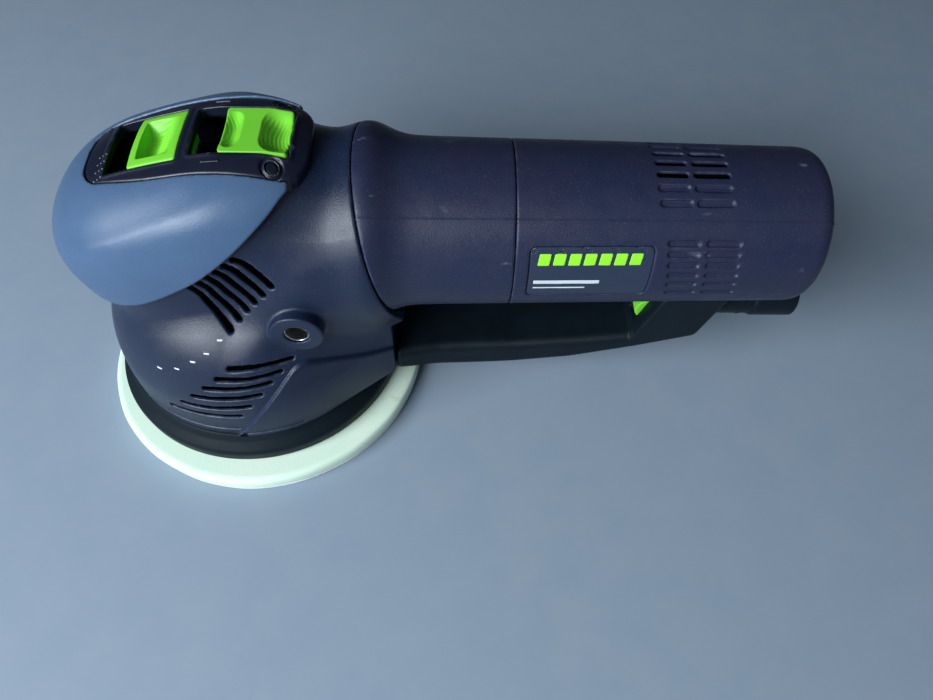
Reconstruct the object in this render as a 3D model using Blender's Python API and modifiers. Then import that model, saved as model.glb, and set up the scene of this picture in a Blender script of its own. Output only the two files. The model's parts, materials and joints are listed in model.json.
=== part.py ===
"""Dual action polisher: a geared, eccentric machine on a 150 mm polishing pad.

The head carries a soft grip and two sliders, the motor lies in the barrel behind it, and a dust
duct runs under the barrel to a hose port. Metres, +Z up. The origin is on the pad's working face
below the spindle, +X runs rearwards along the barrel, and right and left (+Y and -Y) are those of
someone who stands behind the tool.
"""
import math

import bmesh
import bpy
import numpy as np
from mathutils import Matrix, Vector

# ---------------------------------------------------------------- driving dimensions
GAP = 0.00035                 # clearance that touching pieces keep
FINE_STEPS = 44               # facets round a large visible turning
ROUND_STEPS = 28              # facets round an inner or small one
BARREL_STEPS = 36             # facets round the barrel
HEAD_FACETS = (40, 20)        # facets round and up the cast head

PAD_RADIUS = 0.0750
PAD_TOP = 0.0093
FELT_TOP = 0.0018
PLATE_TOP = 0.0121
ORBIT = 0.0025                # eccentricity of the pad
ORBIT_ANGLE = math.radians(-45.0)

BELL_RADIUS = 0.0604          # round housing above the pad
BELL_LIP_Z = 0.0240
BELL_FLAT_Z = 0.0300          # where the dome starts
BELL_RISE = 0.0600
SHELL = 0.0030                # wall thickness of the head
BARREL_WALL = 0.0026

BARREL_Z = 0.0934             # height of the motor's axis
JOINT_X = 0.1147              # seam between the two barrel shells
BARREL_END_X = 0.2340
SEAM_TOP = (0.0560, 0.1270)   # x and z of the slanted seam behind the head, at the top
SEAM_SLOPE = 0.22
DUCT_START_X = 0.0660
GAP_ROOF_Z = 0.0570           # top of the head's flat rear wall, in front of the finger gap
HEAD_CENTRE = (0.0100, 0.0, 0.0740)   # point inside the head that its surfaces are cast from

BOSS_X, BOSS_Z = 0.0319, 0.0780
BOSS_FACE_Y = 0.0460
BOSS_RADIUS = 0.0103
THREAD_RADIUS = 0.0042

PORT_Z = 0.0510               # axis of the hose port
PORT_BORE = 0.0087
PORT_END_X = 0.2470
DIAL_X, DIAL_Y, DIAL_Z = 0.1812, -0.0070, 0.0500
DIAL_RADIUS, DIAL_WIDTH = 0.0070, 0.0080
VENT_SLOTS = ((0.1666, 0.1784), (0.1802, 0.1938))
VENT_HALF = 0.00125
VENT_PITCH_DEG = 10.3

SLIDER_SLOPE = math.radians(12.0)
SLIDER_X, SLIDER_LENGTH, SLIDER_WIDTH = -0.0125, 0.0180, 0.0260
SLIDER_TRAVEL = 0.0090
MODE_X, MODE_LENGTH, MODE_WIDTH = 0.0230, 0.0235, 0.0236
MODE_TRAVEL = 0.0100

GEAR_MODULE = 0.00125
RING_TEETH, PAD_TEETH = 45, 41
CROWN_TEETH, PINION_TEETH = 35, 12
PINION_TIP = 0.0081

ORBIT_X = ORBIT * math.cos(ORBIT_ANGLE)
ORBIT_Y = ORBIT * math.sin(ORBIT_ANGLE)
SPINDLE_AXIS = (0.0, 0.0, 0.0)
PAD_AXIS = (ORBIT_X, ORBIT_Y, 0.0)
MOTOR_AXIS = (0.0, 0.0, BARREL_Z)

# name: (colour, roughness, metallic)
LOOKS = {
    "navy_plastic": ((0.030, 0.040, 0.080), 0.50, 0.0),
    "soft_grip": ((0.120, 0.200, 0.330), 0.60, 0.0),
    "green_plastic": ((0.220, 0.750, 0.060), 0.40, 0.0),
    "black_plastic": ((0.012, 0.016, 0.024), 0.55, 0.0),
    "black_rubber": ((0.010, 0.018, 0.026), 0.65, 0.0),
    "pad_foam": ((0.680, 0.820, 0.740), 0.90, 0.0),
    "pad_felt": ((0.800, 0.820, 0.780), 0.95, 0.0),
    "label_film": ((0.020, 0.030, 0.070), 0.35, 0.0),
    "steel": ((0.560, 0.570, 0.580), 0.30, 1.0),
    "cast_alloy": ((0.620, 0.630, 0.640), 0.45, 1.0),
    "iron_laminate": ((0.300, 0.300, 0.310), 0.50, 1.0),
    "brass": ((0.720, 0.520, 0.220), 0.30, 1.0),
    "carbon": ((0.030, 0.030, 0.032), 0.60, 0.0),
    "circuit": ((0.030, 0.180, 0.080), 0.50, 0.0),
}


# ---------------------------------------------------------------- scene and object helpers
def clear_scene():
    for obj in list(bpy.data.objects):
        bpy.data.objects.remove(obj, do_unlink=True)


def new_collection(name):
    collection = bpy.data.collections.new(name)
    bpy.context.scene.collection.children.link(collection)
    return collection


clear_scene()
PARTS = new_collection("dual_action_polisher")
CUTTERS = new_collection("cutters")


def material(look):
    found = bpy.data.materials.get(look)
    if found:
        return found
    colour, roughness, metallic = LOOKS[look]
    made = bpy.data.materials.new(look)
    made.use_nodes = True
    shader = made.node_tree.nodes["Principled BSDF"]
    shader.inputs["Base Color"].default_value = (*colour, 1.0)
    shader.inputs["Roughness"].default_value = roughness
    shader.inputs["Metallic"].default_value = metallic
    made.diffuse_color = (*colour, 1.0)
    return made


def place(obj, look):
    """Link an object among the parts, or among the cutters when it has no look."""
    if look is None:
        CUTTERS.objects.link(obj)
        obj.hide_render = True
        obj.display_type = "WIRE"
    else:
        PARTS.objects.link(obj)
        obj.data.materials.append(material(look))
    return obj


def mesh_object(name, bm, look=None):
    mesh = bpy.data.meshes.new(name)
    bm.to_mesh(mesh)
    bm.free()
    return place(bpy.data.objects.new(name, mesh), look)


def block(name, low, high, look=None):
    """A box from its lowest to its highest corner, with its origin at its centre."""
    low, high = Vector(low), Vector(high)
    bm = bmesh.new()
    bmesh.ops.create_cube(bm, size=1.0)
    bmesh.ops.scale(bm, vec=high - low, verts=bm.verts)
    obj = mesh_object(name, bm, look)
    obj.location = (low + high) / 2
    return obj


def rod(name, start, end, radius, look=None, sides=24):
    """A cylinder between two points."""
    start, end = Vector(start), Vector(end)
    bm = bmesh.new()
    bmesh.ops.create_cone(bm, cap_ends=True, segments=sides, radius1=radius, radius2=radius,
                          depth=(end - start).length)
    obj = mesh_object(name, bm, look)
    obj.location = (start + end) / 2
    obj.rotation_mode = "QUATERNION"
    obj.rotation_quaternion = (end - start).to_track_quat("Z", "Y")
    return obj


def runs_down(profile):
    """The profile in the order whose outer side goes down, which is what Screw needs."""
    area = 0.0
    for (r0, h0), (r1, h1) in zip(profile, profile[1:] + profile[:1]):
        area += r0 * h1 - r1 * h0
    return profile if area < 0 else profile[::-1]


def turned(name, profile, look=None, centre=(0.0, 0.0, 0.0), axis="Z", steps=ROUND_STEPS):
    """A turned solid from (radius, height) points, closed on itself or on its axis."""
    on_axis = [point for point in profile if point[0] == 0.0]
    points = runs_down(profile)
    if on_axis:
        while points[0][0] != 0.0 or points[-1][0] != 0.0:
            points = points[1:] + points[:1]
    bm = bmesh.new()
    verts = [bm.verts.new((radius, 0.0, height)) for radius, height in points]
    for start, end in zip(verts, verts[1:]):
        bm.edges.new((start, end))
    if not on_axis:
        bm.edges.new((verts[-1], verts[0]))
    obj = mesh_object(name, bm, look)
    screw = obj.modifiers.new("turn", "SCREW")
    screw.steps = steps
    screw.render_steps = steps
    screw.use_merge_vertices = True
    screw.merge_threshold = 0.00001
    obj.location = centre
    if axis == "X":
        obj.rotation_euler = (0.0, math.radians(90.0), 0.0)
    if axis == "Y":
        obj.rotation_euler = (math.radians(-90.0), 0.0, 0.0)
    return obj


def ring(name, inner, outer, low, high, look=None, centre=(0.0, 0.0, 0.0), axis="Z", steps=ROUND_STEPS):
    profile = [(outer, high), (outer, low), (inner, low), (inner, high)]
    return turned(name, profile, look, centre, axis, steps)


FACINGS = {
    "Z": Matrix.Identity(4),
    "Y": Matrix(((1, 0, 0, 0), (0, 0, -1, 0), (0, 1, 0, 0), (0, 0, 0, 1))),
    "X": Matrix(((0, 0, 1, 0), (1, 0, 0, 0), (0, 1, 0, 0), (0, 0, 0, 1))),
}


def plate(name, loops, low, high, look=None, facing="Z", centre=(0.0, 0.0, 0.0)):
    """A flat outline with its holes, extruded from low to high along the facing axis."""
    curve = bpy.data.curves.new(name, "CURVE")
    curve.dimensions = "2D"
    curve.fill_mode = "BOTH"
    curve.extrude = (high - low) / 2
    for loop in loops:
        spline = curve.splines.new("POLY")
        spline.points.add(len(loop) - 1)
        for point, (across, along) in zip(spline.points, loop):
            point.co = (across, along, 0.0, 1.0)
        spline.use_cyclic_u = True
    outline = bpy.data.objects.new(name + "_outline", curve)
    CUTTERS.objects.link(outline)
    graph = bpy.context.evaluated_depsgraph_get()
    mesh = bpy.data.meshes.new_from_object(outline.evaluated_get(graph))
    bpy.data.objects.remove(outline, do_unlink=True)
    bm = bmesh.new()
    bm.from_mesh(mesh)
    bpy.data.meshes.remove(mesh)
    bmesh.ops.remove_doubles(bm, verts=bm.verts, dist=0.00001)
    shift = Matrix.Translation((0.0, 0.0, (low + high) / 2))
    bmesh.ops.transform(bm, matrix=FACINGS[facing] @ shift, verts=bm.verts)
    bmesh.ops.recalc_face_normals(bm, faces=bm.faces)
    obj = mesh_object(name, bm, look)
    obj.location = centre
    return obj


def loft(name, stations, look=None, corner=5.0, sides=24):
    """A bar along X through (x, bottom, top, half width) stations with rounded sections."""
    bm = bmesh.new()
    rings = []
    for x, bottom, top, half in stations:
        middle, rise = (bottom + top) / 2, (top - bottom) / 2
        section = []
        for step in range(sides):
            turn = 2.0 * math.pi * (step + 0.5) / sides
            across, up = math.cos(turn), math.sin(turn)
            swell = (abs(across) ** corner + abs(up) ** corner) ** (-1.0 / corner)
            section.append(bm.verts.new((x, half * across * swell, middle + rise * up * swell)))
        rings.append(section)
    for near, far in zip(rings, rings[1:]):
        for step in range(sides):
            after = (step + 1) % sides
            bm.faces.new((near[step], near[after], far[after], far[step]))
    bm.faces.new(rings[0][::-1])
    bm.faces.new(rings[-1])
    bmesh.ops.recalc_face_normals(bm, faces=bm.faces)
    return mesh_object(name, bm, look)


MANIFOLD_CUTS = ("gear_housing", "head_grip", "switch_panel", "power_slider", "mode_button",
                 "barrel_front_shell", "extraction_duct", "cooling_fan")


def boolean(obj, others, operation):
    """Boolean modifiers, exact except for the pieces whose cuts EXACT leaves open or folded."""
    for other in others:
        step = obj.modifiers.new(operation.lower(), "BOOLEAN")
        step.operation = operation
        step.solver = "MANIFOLD" if obj.name in MANIFOLD_CUTS else "EXACT"
        step.object = other
    return obj


def cut(obj, *cutters):
    return boolean(obj, cutters, "DIFFERENCE")


def join(obj, *others):
    return boolean(obj, others, "UNION")


def keep(obj, *others):
    return boolean(obj, others, "INTERSECT")


def follow(axis_empty, *pieces):
    """Parent pieces to the empty on their joint's axis without moving them."""
    bpy.context.view_layer.update()
    for piece in pieces:
        piece.parent = axis_empty
        piece.matrix_parent_inverse = axis_empty.matrix_world.inverted()


def axis_empty(name, location, parent=None):
    empty = bpy.data.objects.new(name, None)
    PARTS.objects.link(empty)
    empty.empty_display_size = 0.01
    empty.location = location
    if parent:
        follow(parent, empty)
    return empty


# ---------------------------------------------------------------- the housing as distance fields
def blend_min(a, b, width):
    """Union of two fields with a fillet of about this width."""
    mix = np.clip(0.5 + 0.5 * (b - a) / width, 0.0, 1.0)
    return b * (1.0 - mix) + a * mix - width * mix * (1.0 - mix)


def super_norm(terms, power):
    return sum(np.maximum(term, 0.0) ** power for term in terms) ** (1.0 / power)


def bell_radius(z):
    rise = np.clip((z - BELL_FLAT_Z) / BELL_RISE, 0.0, 0.999)
    return BELL_RADIUS * (1.0 - rise ** 2.5) ** 0.4


def bell_field(x, y, z):
    rise = np.maximum(z - BELL_FLAT_Z, 0.0) / BELL_RISE
    return (super_norm([np.hypot(x, y) / BELL_RADIUS, rise], 2.5) - 1.0) * BELL_RADIUS


def barrel_radius(x):
    """The barrel thins to the rear, swells at the seam and runs on as the neck of the head."""
    body = 0.0333 - 0.0175 * np.maximum(x - 0.078, 0.0)
    neck = 0.0029 / (1.0 + np.exp((x - 0.052) / 0.006))
    hump = 0.0048 * np.exp(-((x - 0.060) / 0.0095) ** 2)
    return body + neck + hump


def neck_field(x, y, z):
    radius = barrel_radius(x)
    nose = np.maximum(-0.010 - x, 0.0) / 0.0455
    return (super_norm([np.hypot(y, z - BARREL_Z) / radius, nose], 2.2) - 1.0) * radius


def wall_field(x, y, z):
    """Side walls from the bell back to the duct, bulging a little around the boss."""
    radius = bell_radius(z)
    end_half = 0.025 + 0.012 / (1.0 + np.exp((0.068 - z) / 0.006))
    reach = np.hypot(DUCT_START_X, end_half)
    slant = np.arctan2(end_half, DUCT_START_X) + np.arccos(radius / reach)
    swell = 0.0025 * np.exp(-((x - 0.030) ** 2 + (z - 0.082) ** 2) / 0.016 ** 2)
    side = x * np.cos(slant) + np.abs(y) * np.sin(slant) - radius - swell
    front = radius * np.cos(slant) - x
    return np.maximum(np.maximum(side, front), np.maximum(z - 0.0974, x - 0.080))


def bulb_field(x, y, z):
    """The palm grip: a tilted egg around the front of the head."""
    tilt = math.radians(18.0)
    ahead, above = x + 0.0125, z - 0.1000
    along = ahead * math.cos(tilt) + above * math.sin(tilt)
    up = above * math.cos(tilt) - ahead * math.sin(tilt)
    reach = np.where(along > 0.0, 0.066, 0.0485)
    terms = [np.abs(along) / reach, np.abs(y) / 0.0400, np.abs(up) / 0.0330]
    return (super_norm(terms, 2.4) - 1.0) * 0.0330


def housing_field(x, y, z):
    body = blend_min(bell_field(x, y, z), neck_field(x, y, z), 0.014)
    body = blend_min(body, wall_field(x, y, z), 0.006)
    return blend_min(body, bulb_field(x, y, z) + 0.0024, 0.006)


def cover_field(x, y, z):
    """The outer skin of the soft grip and of the switch panel."""
    return blend_min(bulb_field(x, y, z), housing_field(x, y, z) - 0.0018, 0.003)


def skin_field(field, offset):
    """The field grown by offset and closed off below and behind."""
    def grown(x, y, z):
        return np.maximum(field(x, y, z) - offset, np.maximum(0.050 - z, x - 0.060))
    return grown


def cast(name, field, centre, look=None, segments=32, rings=16):
    """A sphere whose vertices are moved along their rays to where the field is zero."""
    bm = bmesh.new()
    bmesh.ops.create_uvsphere(bm, u_segments=segments, v_segments=rings, radius=1.0)
    rays = np.array([vert.co[:] for vert in bm.verts])
    centre = np.array(centre)
    depths = np.linspace(0.0, 0.16, 100)
    points = centre + rays[:, None, :] * depths[None, :, None]
    outside = field(points[..., 0], points[..., 1], points[..., 2]) > 0.0
    first = np.argmax(outside, axis=1)
    near, far = depths[first - 1], depths[first]
    for _ in range(20):
        middle = (near + far) / 2
        points = centre + rays * middle[:, None]
        inside = field(points[:, 0], points[:, 1], points[:, 2]) < 0.0
        near = np.where(inside, middle, near)
        far = np.where(inside, far, middle)
    for vert, ray, depth in zip(bm.verts, rays, near):
        vert.co = centre + ray * depth
    bmesh.ops.triangulate(bm, faces=bm.faces, quad_method="FIXED")
    return mesh_object(name, bm, look)


# ---------------------------------------------------------------- shared cutters
def seam_wedge(name, offset, keep_front):
    """A prism on one side of the slanted seam behind the head."""
    top, bottom = 0.200, -0.020
    top_x = SEAM_TOP[0] + (SEAM_TOP[1] - top) * SEAM_SLOPE + offset
    bottom_x = SEAM_TOP[0] + (SEAM_TOP[1] - bottom) * SEAM_SLOPE + offset
    side_x = -0.150 if keep_front else 0.300
    outline = [(side_x, bottom), (bottom_x, bottom), (top_x, top), (side_x, top)]
    return plate(name, [outline], -0.100, 0.100, facing="Y")


def duct_end_wedge(name, offset, behind):
    """A prism on one side of the slanted plane where the duct meets the hose port."""
    low_x, high_x = 0.2010 + offset, 0.2185 + offset
    side_x = 0.300 if behind else 0.100
    outline = [(side_x, 0.034), (low_x, 0.034), (high_x, 0.094), (side_x, 0.094)]
    return plate(name, [outline], -0.060, 0.060, facing="Y")


def panel_outline(inset):
    """The switch panel seen from above: round at the front, widest near the rear."""
    front = [(-0.0400 + inset, 0.0060), (-0.0385 + inset, 0.0110), (-0.0350, 0.0148 - inset)]
    side = [(-0.0300, 0.0166 - inset), (-0.0140, 0.0194 - inset), (0.0050, 0.0202 - inset)]
    rear = [(0.0260, 0.0210 - inset), (0.0360, 0.0194 - inset), (0.0410 - inset, 0.0125)]
    rear += [(0.0420 - inset, 0.0050)]
    half = front + side + rear
    return half + [(x, -y) for x, y in half[::-1]]


def barrel_profile(offset, start, end, steps):
    return [(float(barrel_radius(x)) + offset, float(x)) for x in np.linspace(start, end, steps)]


def rounded_slot(length, width, angle, centre, steps=4):
    """Points of a slot with round ends, turned by angle about its centre."""
    points = []
    for end in (1.0, -1.0):
        for step in range(steps + 1):
            turn = math.pi * (step / steps - 0.5) + (0.0 if end > 0 else math.pi)
            along = end * (length - width) / 2 + width / 2 * math.cos(turn)
            across = width / 2 * math.sin(turn)
            points.append((centre[0] + along * math.cos(angle) - across * math.sin(angle),
                           centre[1] + along * math.sin(angle) + across * math.cos(angle)))
    return points


# ---------------------------------------------------------------- housing
def head_vents():
    """Six slots in each side of the head, stepping up and back."""
    slots = []
    for number in range(6):
        middle = (0.0011 + 0.0038 * number, 0.0872 + 0.0032 * number)
        angle = math.radians(-57.0 + 1.6 * number)
        slots.append(rounded_slot(0.0185, 0.0024, angle, middle))
    sides = []
    for name, low, high in (("vents_right", 0.0250, 0.0600), ("vents_left", -0.0600, -0.0250)):
        sides.append(plate(name, slots, low, high, facing="Y"))
    return sides


def gear_housing():
    def outer(x, y, z):
        return np.maximum(housing_field(x, y, z), np.maximum(0.012 - z, x - 0.088))

    def inner(x, y, z):
        rear = np.where(z < GAP_ROOF_Z + SHELL, DUCT_START_X - SHELL, 0.095)
        return np.maximum(housing_field(x, y, z) + SHELL, np.maximum(0.008 - z, x - rear))

    housing = cast("gear_housing", outer, HEAD_CENTRE, "navy_plastic", *HEAD_FACETS)
    for side in (-1.0, 1.0):
        face = side * BOSS_FACE_Y
        blank_end = (BOSS_X, side * 0.0345, BOSS_Z)
        join(housing, rod("boss_blank", blank_end, (BOSS_X, face, BOSS_Z), BOSS_RADIUS))
    cut(housing, cast("head_hollow", inner, HEAD_CENTRE, None, 28, 14))
    keep(housing, seam_wedge("head_side", 0.0, True))
    cut(housing, block("below_lip", (-0.1, -0.1, -0.02), (0.12, 0.1, BELL_LIP_Z)))
    cut(housing, block("finger_gap", (DUCT_START_X, -0.06, 0.0), (0.12, 0.06, GAP_ROOF_Z)))
    cut(housing, block("duct_mouth", (0.058, -0.0150, 0.0252), (0.070, 0.0150, 0.0320)))
    cut(housing, plate("panel_hole", [panel_outline(0.0)], 0.112, 0.150))
    cut(housing, *head_vents())
    cut(housing, rod("thread_hole", (BOSS_X, -0.06, BOSS_Z), (BOSS_X, 0.06, BOSS_Z), 0.0055))
    return housing


def grip_outline():
    """Side view of the soft grip: its lower edge curves from the front up to a rear tip."""
    edge = [(-0.0750, 0.1020), (-0.0620, 0.0905), (-0.0540, 0.0850), (-0.0460, 0.0825)]
    edge += [(-0.0360, 0.0835), (-0.0240, 0.0880), (-0.0120, 0.0935), (0.0000, 0.1000)]
    edge += [(0.0120, 0.1085), (0.0240, 0.1185), (0.0355, 0.1300)]
    return edge + [(0.0355, 0.160), (-0.0750, 0.160)]


def head_grip():
    grip = cast("head_grip", skin_field(cover_field, 0.0), (-0.010, 0.0, 0.100), "soft_grip", 32, 18)
    cut(grip, cast("grip_hollow", skin_field(housing_field, GAP), HEAD_CENTRE, None, *HEAD_FACETS))
    keep(grip, plate("grip_side", [grip_outline()], -0.060, 0.060, facing="Y"))
    cut(grip, plate("grip_window", [panel_outline(-0.0001)], 0.100, 0.150))
    return grip


def panel_windows():
    low, high = SLIDER_X - SLIDER_LENGTH / 2 - SLIDER_TRAVEL - GAP, SLIDER_X + SLIDER_LENGTH / 2 + GAP
    half = SLIDER_WIDTH / 2 + GAP
    power = block("power_window", (low, -half, 0.100), (high, half, 0.150))
    low, high = MODE_X - MODE_LENGTH / 2 - MODE_TRAVEL - GAP, MODE_X + MODE_LENGTH / 2 + GAP
    half = MODE_WIDTH / 2 + GAP
    mode = block("mode_window", (low, -half, 0.100), (high, half, 0.150))
    return power, mode


SCREW_SPOTS = {"right": (0.0300, 0.0166), "left": (0.0300, -0.0166)}


def switch_panel():
    centre = (0.0, 0.0, 0.100)
    panel = cast("switch_panel", skin_field(cover_field, -0.0006), centre, "navy_plastic")
    cut(panel, cast("panel_hollow", skin_field(cover_field, -0.0036), centre, None, 24, 12))
    keep(panel, plate("panel_edge", [panel_outline(0.0006)], 0.112, 0.150))
    cut(panel, *panel_windows())
    for side, (x, y) in SCREW_SPOTS.items():
        cut(panel, rod("screw_hole", (x, y, 0.110), (x, y, 0.145), 0.0020, sides=20))
        top = surface_height(x, y) - 0.0008
        rod("panel_screw_" + side, (x, y, 0.118), (x, y, top), 0.0016, "steel", 20)
    return panel


def surface_height(x, y):
    """Height of the cover's skin above a point of the plan."""
    low, high = 0.100, 0.160
    for _ in range(30):
        middle = (low + high) / 2
        if float(cover_field(np.array(x), np.array(y), np.array(middle))) < 0.0:
            low = middle
        else:
            high = middle
    return low


def barrel_front_shell():
    outer = barrel_profile(0.0, 0.050, JOINT_X - GAP / 2, 11)
    inner = barrel_profile(-BARREL_WALL, 0.050, JOINT_X - GAP / 2, 6)
    shell = turned("barrel_front_shell", outer + inner[::-1], "navy_plastic", MOTOR_AXIS, "X", BARREL_STEPS)
    return keep(shell, seam_wedge("barrel_side", GAP, False))


def rear_vents():
    """Three rows of two slots cut through the top of the barrel near its end."""
    vents = []
    for row in (-1, 0, 1):
        turn = math.radians(VENT_PITCH_DEG * row)
        for start, end in VENT_SLOTS:
            slot = block("rear_vent", (start, -VENT_HALF, 0.024), (end, VENT_HALF, 0.040))
            centre = Vector(((start + end) / 2, 0.0, 0.032))
            slot.rotation_euler = (turn, 0.0, 0.0)
            slot.location = Vector(MOTOR_AXIS) + Matrix.Rotation(turn, 3, "X") @ centre
            vents.append(slot)
    return vents


def label_band(name, depth, height, inset, look=None):
    """A curved patch on the left side of the barrel, between two depths below its skin."""
    start, end = 0.1200 + inset, 0.1665 - inset
    profile = barrel_profile(-height, start, end, 3) + barrel_profile(-depth, start, end, 3)[::-1]
    band = turned(name, profile, look, MOTOR_AXIS, "X")
    low, high = 0.0860 + inset, 0.1095 - inset
    return keep(band, block(name + "_extent", (0.10, -0.040, low), (0.18, -0.015, high)))


def barrel_rear_shell():
    start = JOINT_X + GAP / 2
    end = BARREL_END_X
    outer = barrel_profile(0.0, start, end - 0.0065, 4)
    outer += [(0.0293, end - 0.0030), (0.0262, end - 0.0012), (0.0150, end), (0.0, end)]
    inner = [(0.0, end - 0.0035), (0.0255, end - 0.0045)]
    inner += barrel_profile(-BARREL_WALL, start, end - 0.0085, 3)[::-1]
    shell = turned("barrel_rear_shell", outer + inner, "navy_plastic", MOTOR_AXIS, "X", BARREL_STEPS)
    cut(shell, *rear_vents())
    cut(shell, label_band("label_recess", 0.0011, -0.0020, 0.0))
    cut(shell, rod("inlet_hole", (end - 0.0120, 0.0, BARREL_Z), (end + 0.0080, 0.0, BARREL_Z), 0.0125))
    label_band("label_plate", 0.0008, 0.0001, 0.0004, "label_film")
    return shell


def power_inlet():
    """A recessed round socket in the barrel's end with two contact pins."""
    rim, floor, back = BARREL_END_X - 0.0004, BARREL_END_X - 0.0150, BARREL_END_X - 0.0180
    profile = [(0.0120, back), (0.0120, rim), (0.0098, rim), (0.0098, floor), (0.0, floor), (0.0, back)]
    turned("power_inlet", profile, "black_plastic", MOTOR_AXIS, "X")
    for side, y in (("right", 0.0040), ("left", -0.0040)):
        tip = (floor + 0.0100, y, BARREL_Z)
        rod("inlet_pin_" + side, (floor + GAP, y, BARREL_Z), tip, 0.0015, "brass", 16)


# ---------------------------------------------------------------- dust duct
DUCT_OUTSIDE = [
    (0.0664, 0.0200, 0.0340, 0.0250), (0.0730, 0.0185, 0.0333, 0.0232), (0.0850, 0.0170, 0.0326, 0.0205),
    (0.1000, 0.0162, 0.0325, 0.0195), (0.1200, 0.0170, 0.0330, 0.0190), (0.1480, 0.0215, 0.0360, 0.0190),
    (0.1765, 0.0300, 0.0402, 0.0190), (0.1800, 0.0312, 0.0700, 0.0190), (0.1960, 0.0364, 0.0700, 0.0187),
    (0.2240, 0.0450, 0.0700, 0.0180),
]
DUCT_INSIDE = [
    (0.0600, 0.0245, 0.0318, 0.0155), (0.0730, 0.0215, 0.0303, 0.0170), (0.0900, 0.0195, 0.0300, 0.0165),
    (0.1200, 0.0200, 0.0304, 0.0160), (0.1480, 0.0245, 0.0334, 0.0160), (0.1760, 0.0330, 0.0372, 0.0155),
    (0.1850, 0.0352, 0.0392, 0.0150), (0.1960, 0.0395, 0.0445, 0.0120), (0.2000, 0.0425, 0.0590, 0.0085),
]


def extraction_duct():
    duct = loft("extraction_duct", DUCT_OUTSIDE, "black_plastic")
    barrel_room = barrel_profile(0.0006, 0.160, 0.230, 2) + [(0.0, 0.230), (0.0, 0.160)]
    cut(duct, turned("barrel_room", barrel_room, None, MOTOR_AXIS, "X", BARREL_STEPS))
    cut(duct, loft("duct_passage", DUCT_INSIDE, None, 4.0, 20))
    cut(duct, rod("port_socket", (0.1990, 0.0, PORT_Z), (0.2400, 0.0, PORT_Z), PORT_BORE))
    cut(duct, duct_end_wedge("duct_end", 0.0, True))
    pocket = DIAL_RADIUS + 0.0006
    side = DIAL_WIDTH / 2 + 0.0004
    cut(duct, block("dial_pocket", (0.1700, DIAL_Y - side, DIAL_Z - pocket),
                    (DIAL_X + pocket, DIAL_Y + side, DIAL_Z + pocket)))
    return duct


def hose_port():
    profile = [(0.0105, 0.1950), (0.0105, 0.2275), (0.0113, 0.2290), (0.0113, PORT_END_X)]
    profile += [(PORT_BORE, PORT_END_X), (PORT_BORE, 0.1950)]
    port = turned("hose_port", profile, "black_rubber", (0.0, 0.0, PORT_Z), "X")
    return keep(port, duct_end_wedge("port_start", GAP, True))


def speed_dial():
    axis = axis_empty("dial_axis", (DIAL_X, DIAL_Y, DIAL_Z))
    half = DIAL_WIDTH / 2
    profile = [(0.0, half), (DIAL_RADIUS - 0.0006, half), (DIAL_RADIUS, half - 0.0006),
               (DIAL_RADIUS, 0.0006 - half), (DIAL_RADIUS - 0.0006, -half), (0.0, -half)]
    follow(axis, turned("speed_dial", profile, "green_plastic", (DIAL_X, DIAL_Y, DIAL_Z), "Y"))


# ---------------------------------------------------------------- sliders on the head
def slider_shape(name, middle_x, length, width, low, look):
    """A block between two heights whose top lies just under the panel's skin."""
    top = cast(name, skin_field(cover_field, -0.0012), (0.0, 0.0, 0.100), look)
    return keep(top, block(name + "_extent", (middle_x - length / 2, -width / 2, low),
                           (middle_x + length / 2, width / 2, 0.150)))


def power_slider():
    axis = axis_empty("power_slide_axis", (SLIDER_X, 0.0, 0.128))
    slider = slider_shape("power_slider", SLIDER_X, SLIDER_LENGTH, SLIDER_WIDTH, 0.1230, "green_plastic")
    dish = block("slider_dish", (SLIDER_X - 0.0060, -0.0090, 0.1290), (SLIDER_X + 0.0060, 0.0090, 0.150))
    dish.rotation_euler = (0.0, -SLIDER_SLOPE, 0.0)
    cut(slider, dish)
    arm = block("slider_arm", (-0.0170, -0.0040, 0.1170), (-0.0090, 0.0040, 0.1230 - GAP), "black_plastic")
    follow(axis, slider, arm)
    block("power_switch", (-0.0240, -0.0080, 0.0990), (0.0040, 0.0080, 0.1125), "black_plastic")


def mode_selector():
    slide = axis_empty("mode_slide_axis", (MODE_X, 0.0, 0.124))
    press = axis_empty("mode_press_axis", (MODE_X, 0.0, 0.130), slide)
    button = slider_shape("mode_button", MODE_X, MODE_LENGTH, MODE_WIDTH, 0.1270, "green_plastic")
    for side in (-1.0, 1.0):
        middle = MODE_X + side * 0.0072
        dip = rod("mode_dip", (middle, -0.02, 0.1405), (middle, 0.02, 0.1405), 0.0070, None, 32)
        cut(button, dip)
    follow(press, button)
    half = MODE_LENGTH / 2 - 0.001
    carriage = block("mode_carriage", (MODE_X - half, -0.0110, 0.1205), (MODE_X + half, 0.0110, 0.1245),
                     "black_plastic")
    join(carriage, block("mode_fork", (0.0270, -0.0050, 0.1060), (0.0310, 0.0050, 0.1215)))
    follow(slide, carriage)


# ---------------------------------------------------------------- pad and its drive
def gear_outline(teeth, root, tip, root_share, tip_share, start=0.0):
    """Points round a spur gear; the shares are tooth widths as parts of the tooth pitch."""
    points = []
    pitch = 2.0 * math.pi / teeth
    for tooth in range(teeth):
        middle = start + tooth * pitch
        for radius, share in ((root, -root_share), (tip, -tip_share), (tip, tip_share), (root, root_share)):
            turn = middle + share * pitch / 2
            points.append((radius * math.cos(turn), radius * math.sin(turn)))
    return points


def circle(radius, steps=ROUND_STEPS):
    turns = [2.0 * math.pi * step / steps for step in range(steps)]
    return [(radius * math.cos(turn), radius * math.sin(turn)) for turn in turns]


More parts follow.
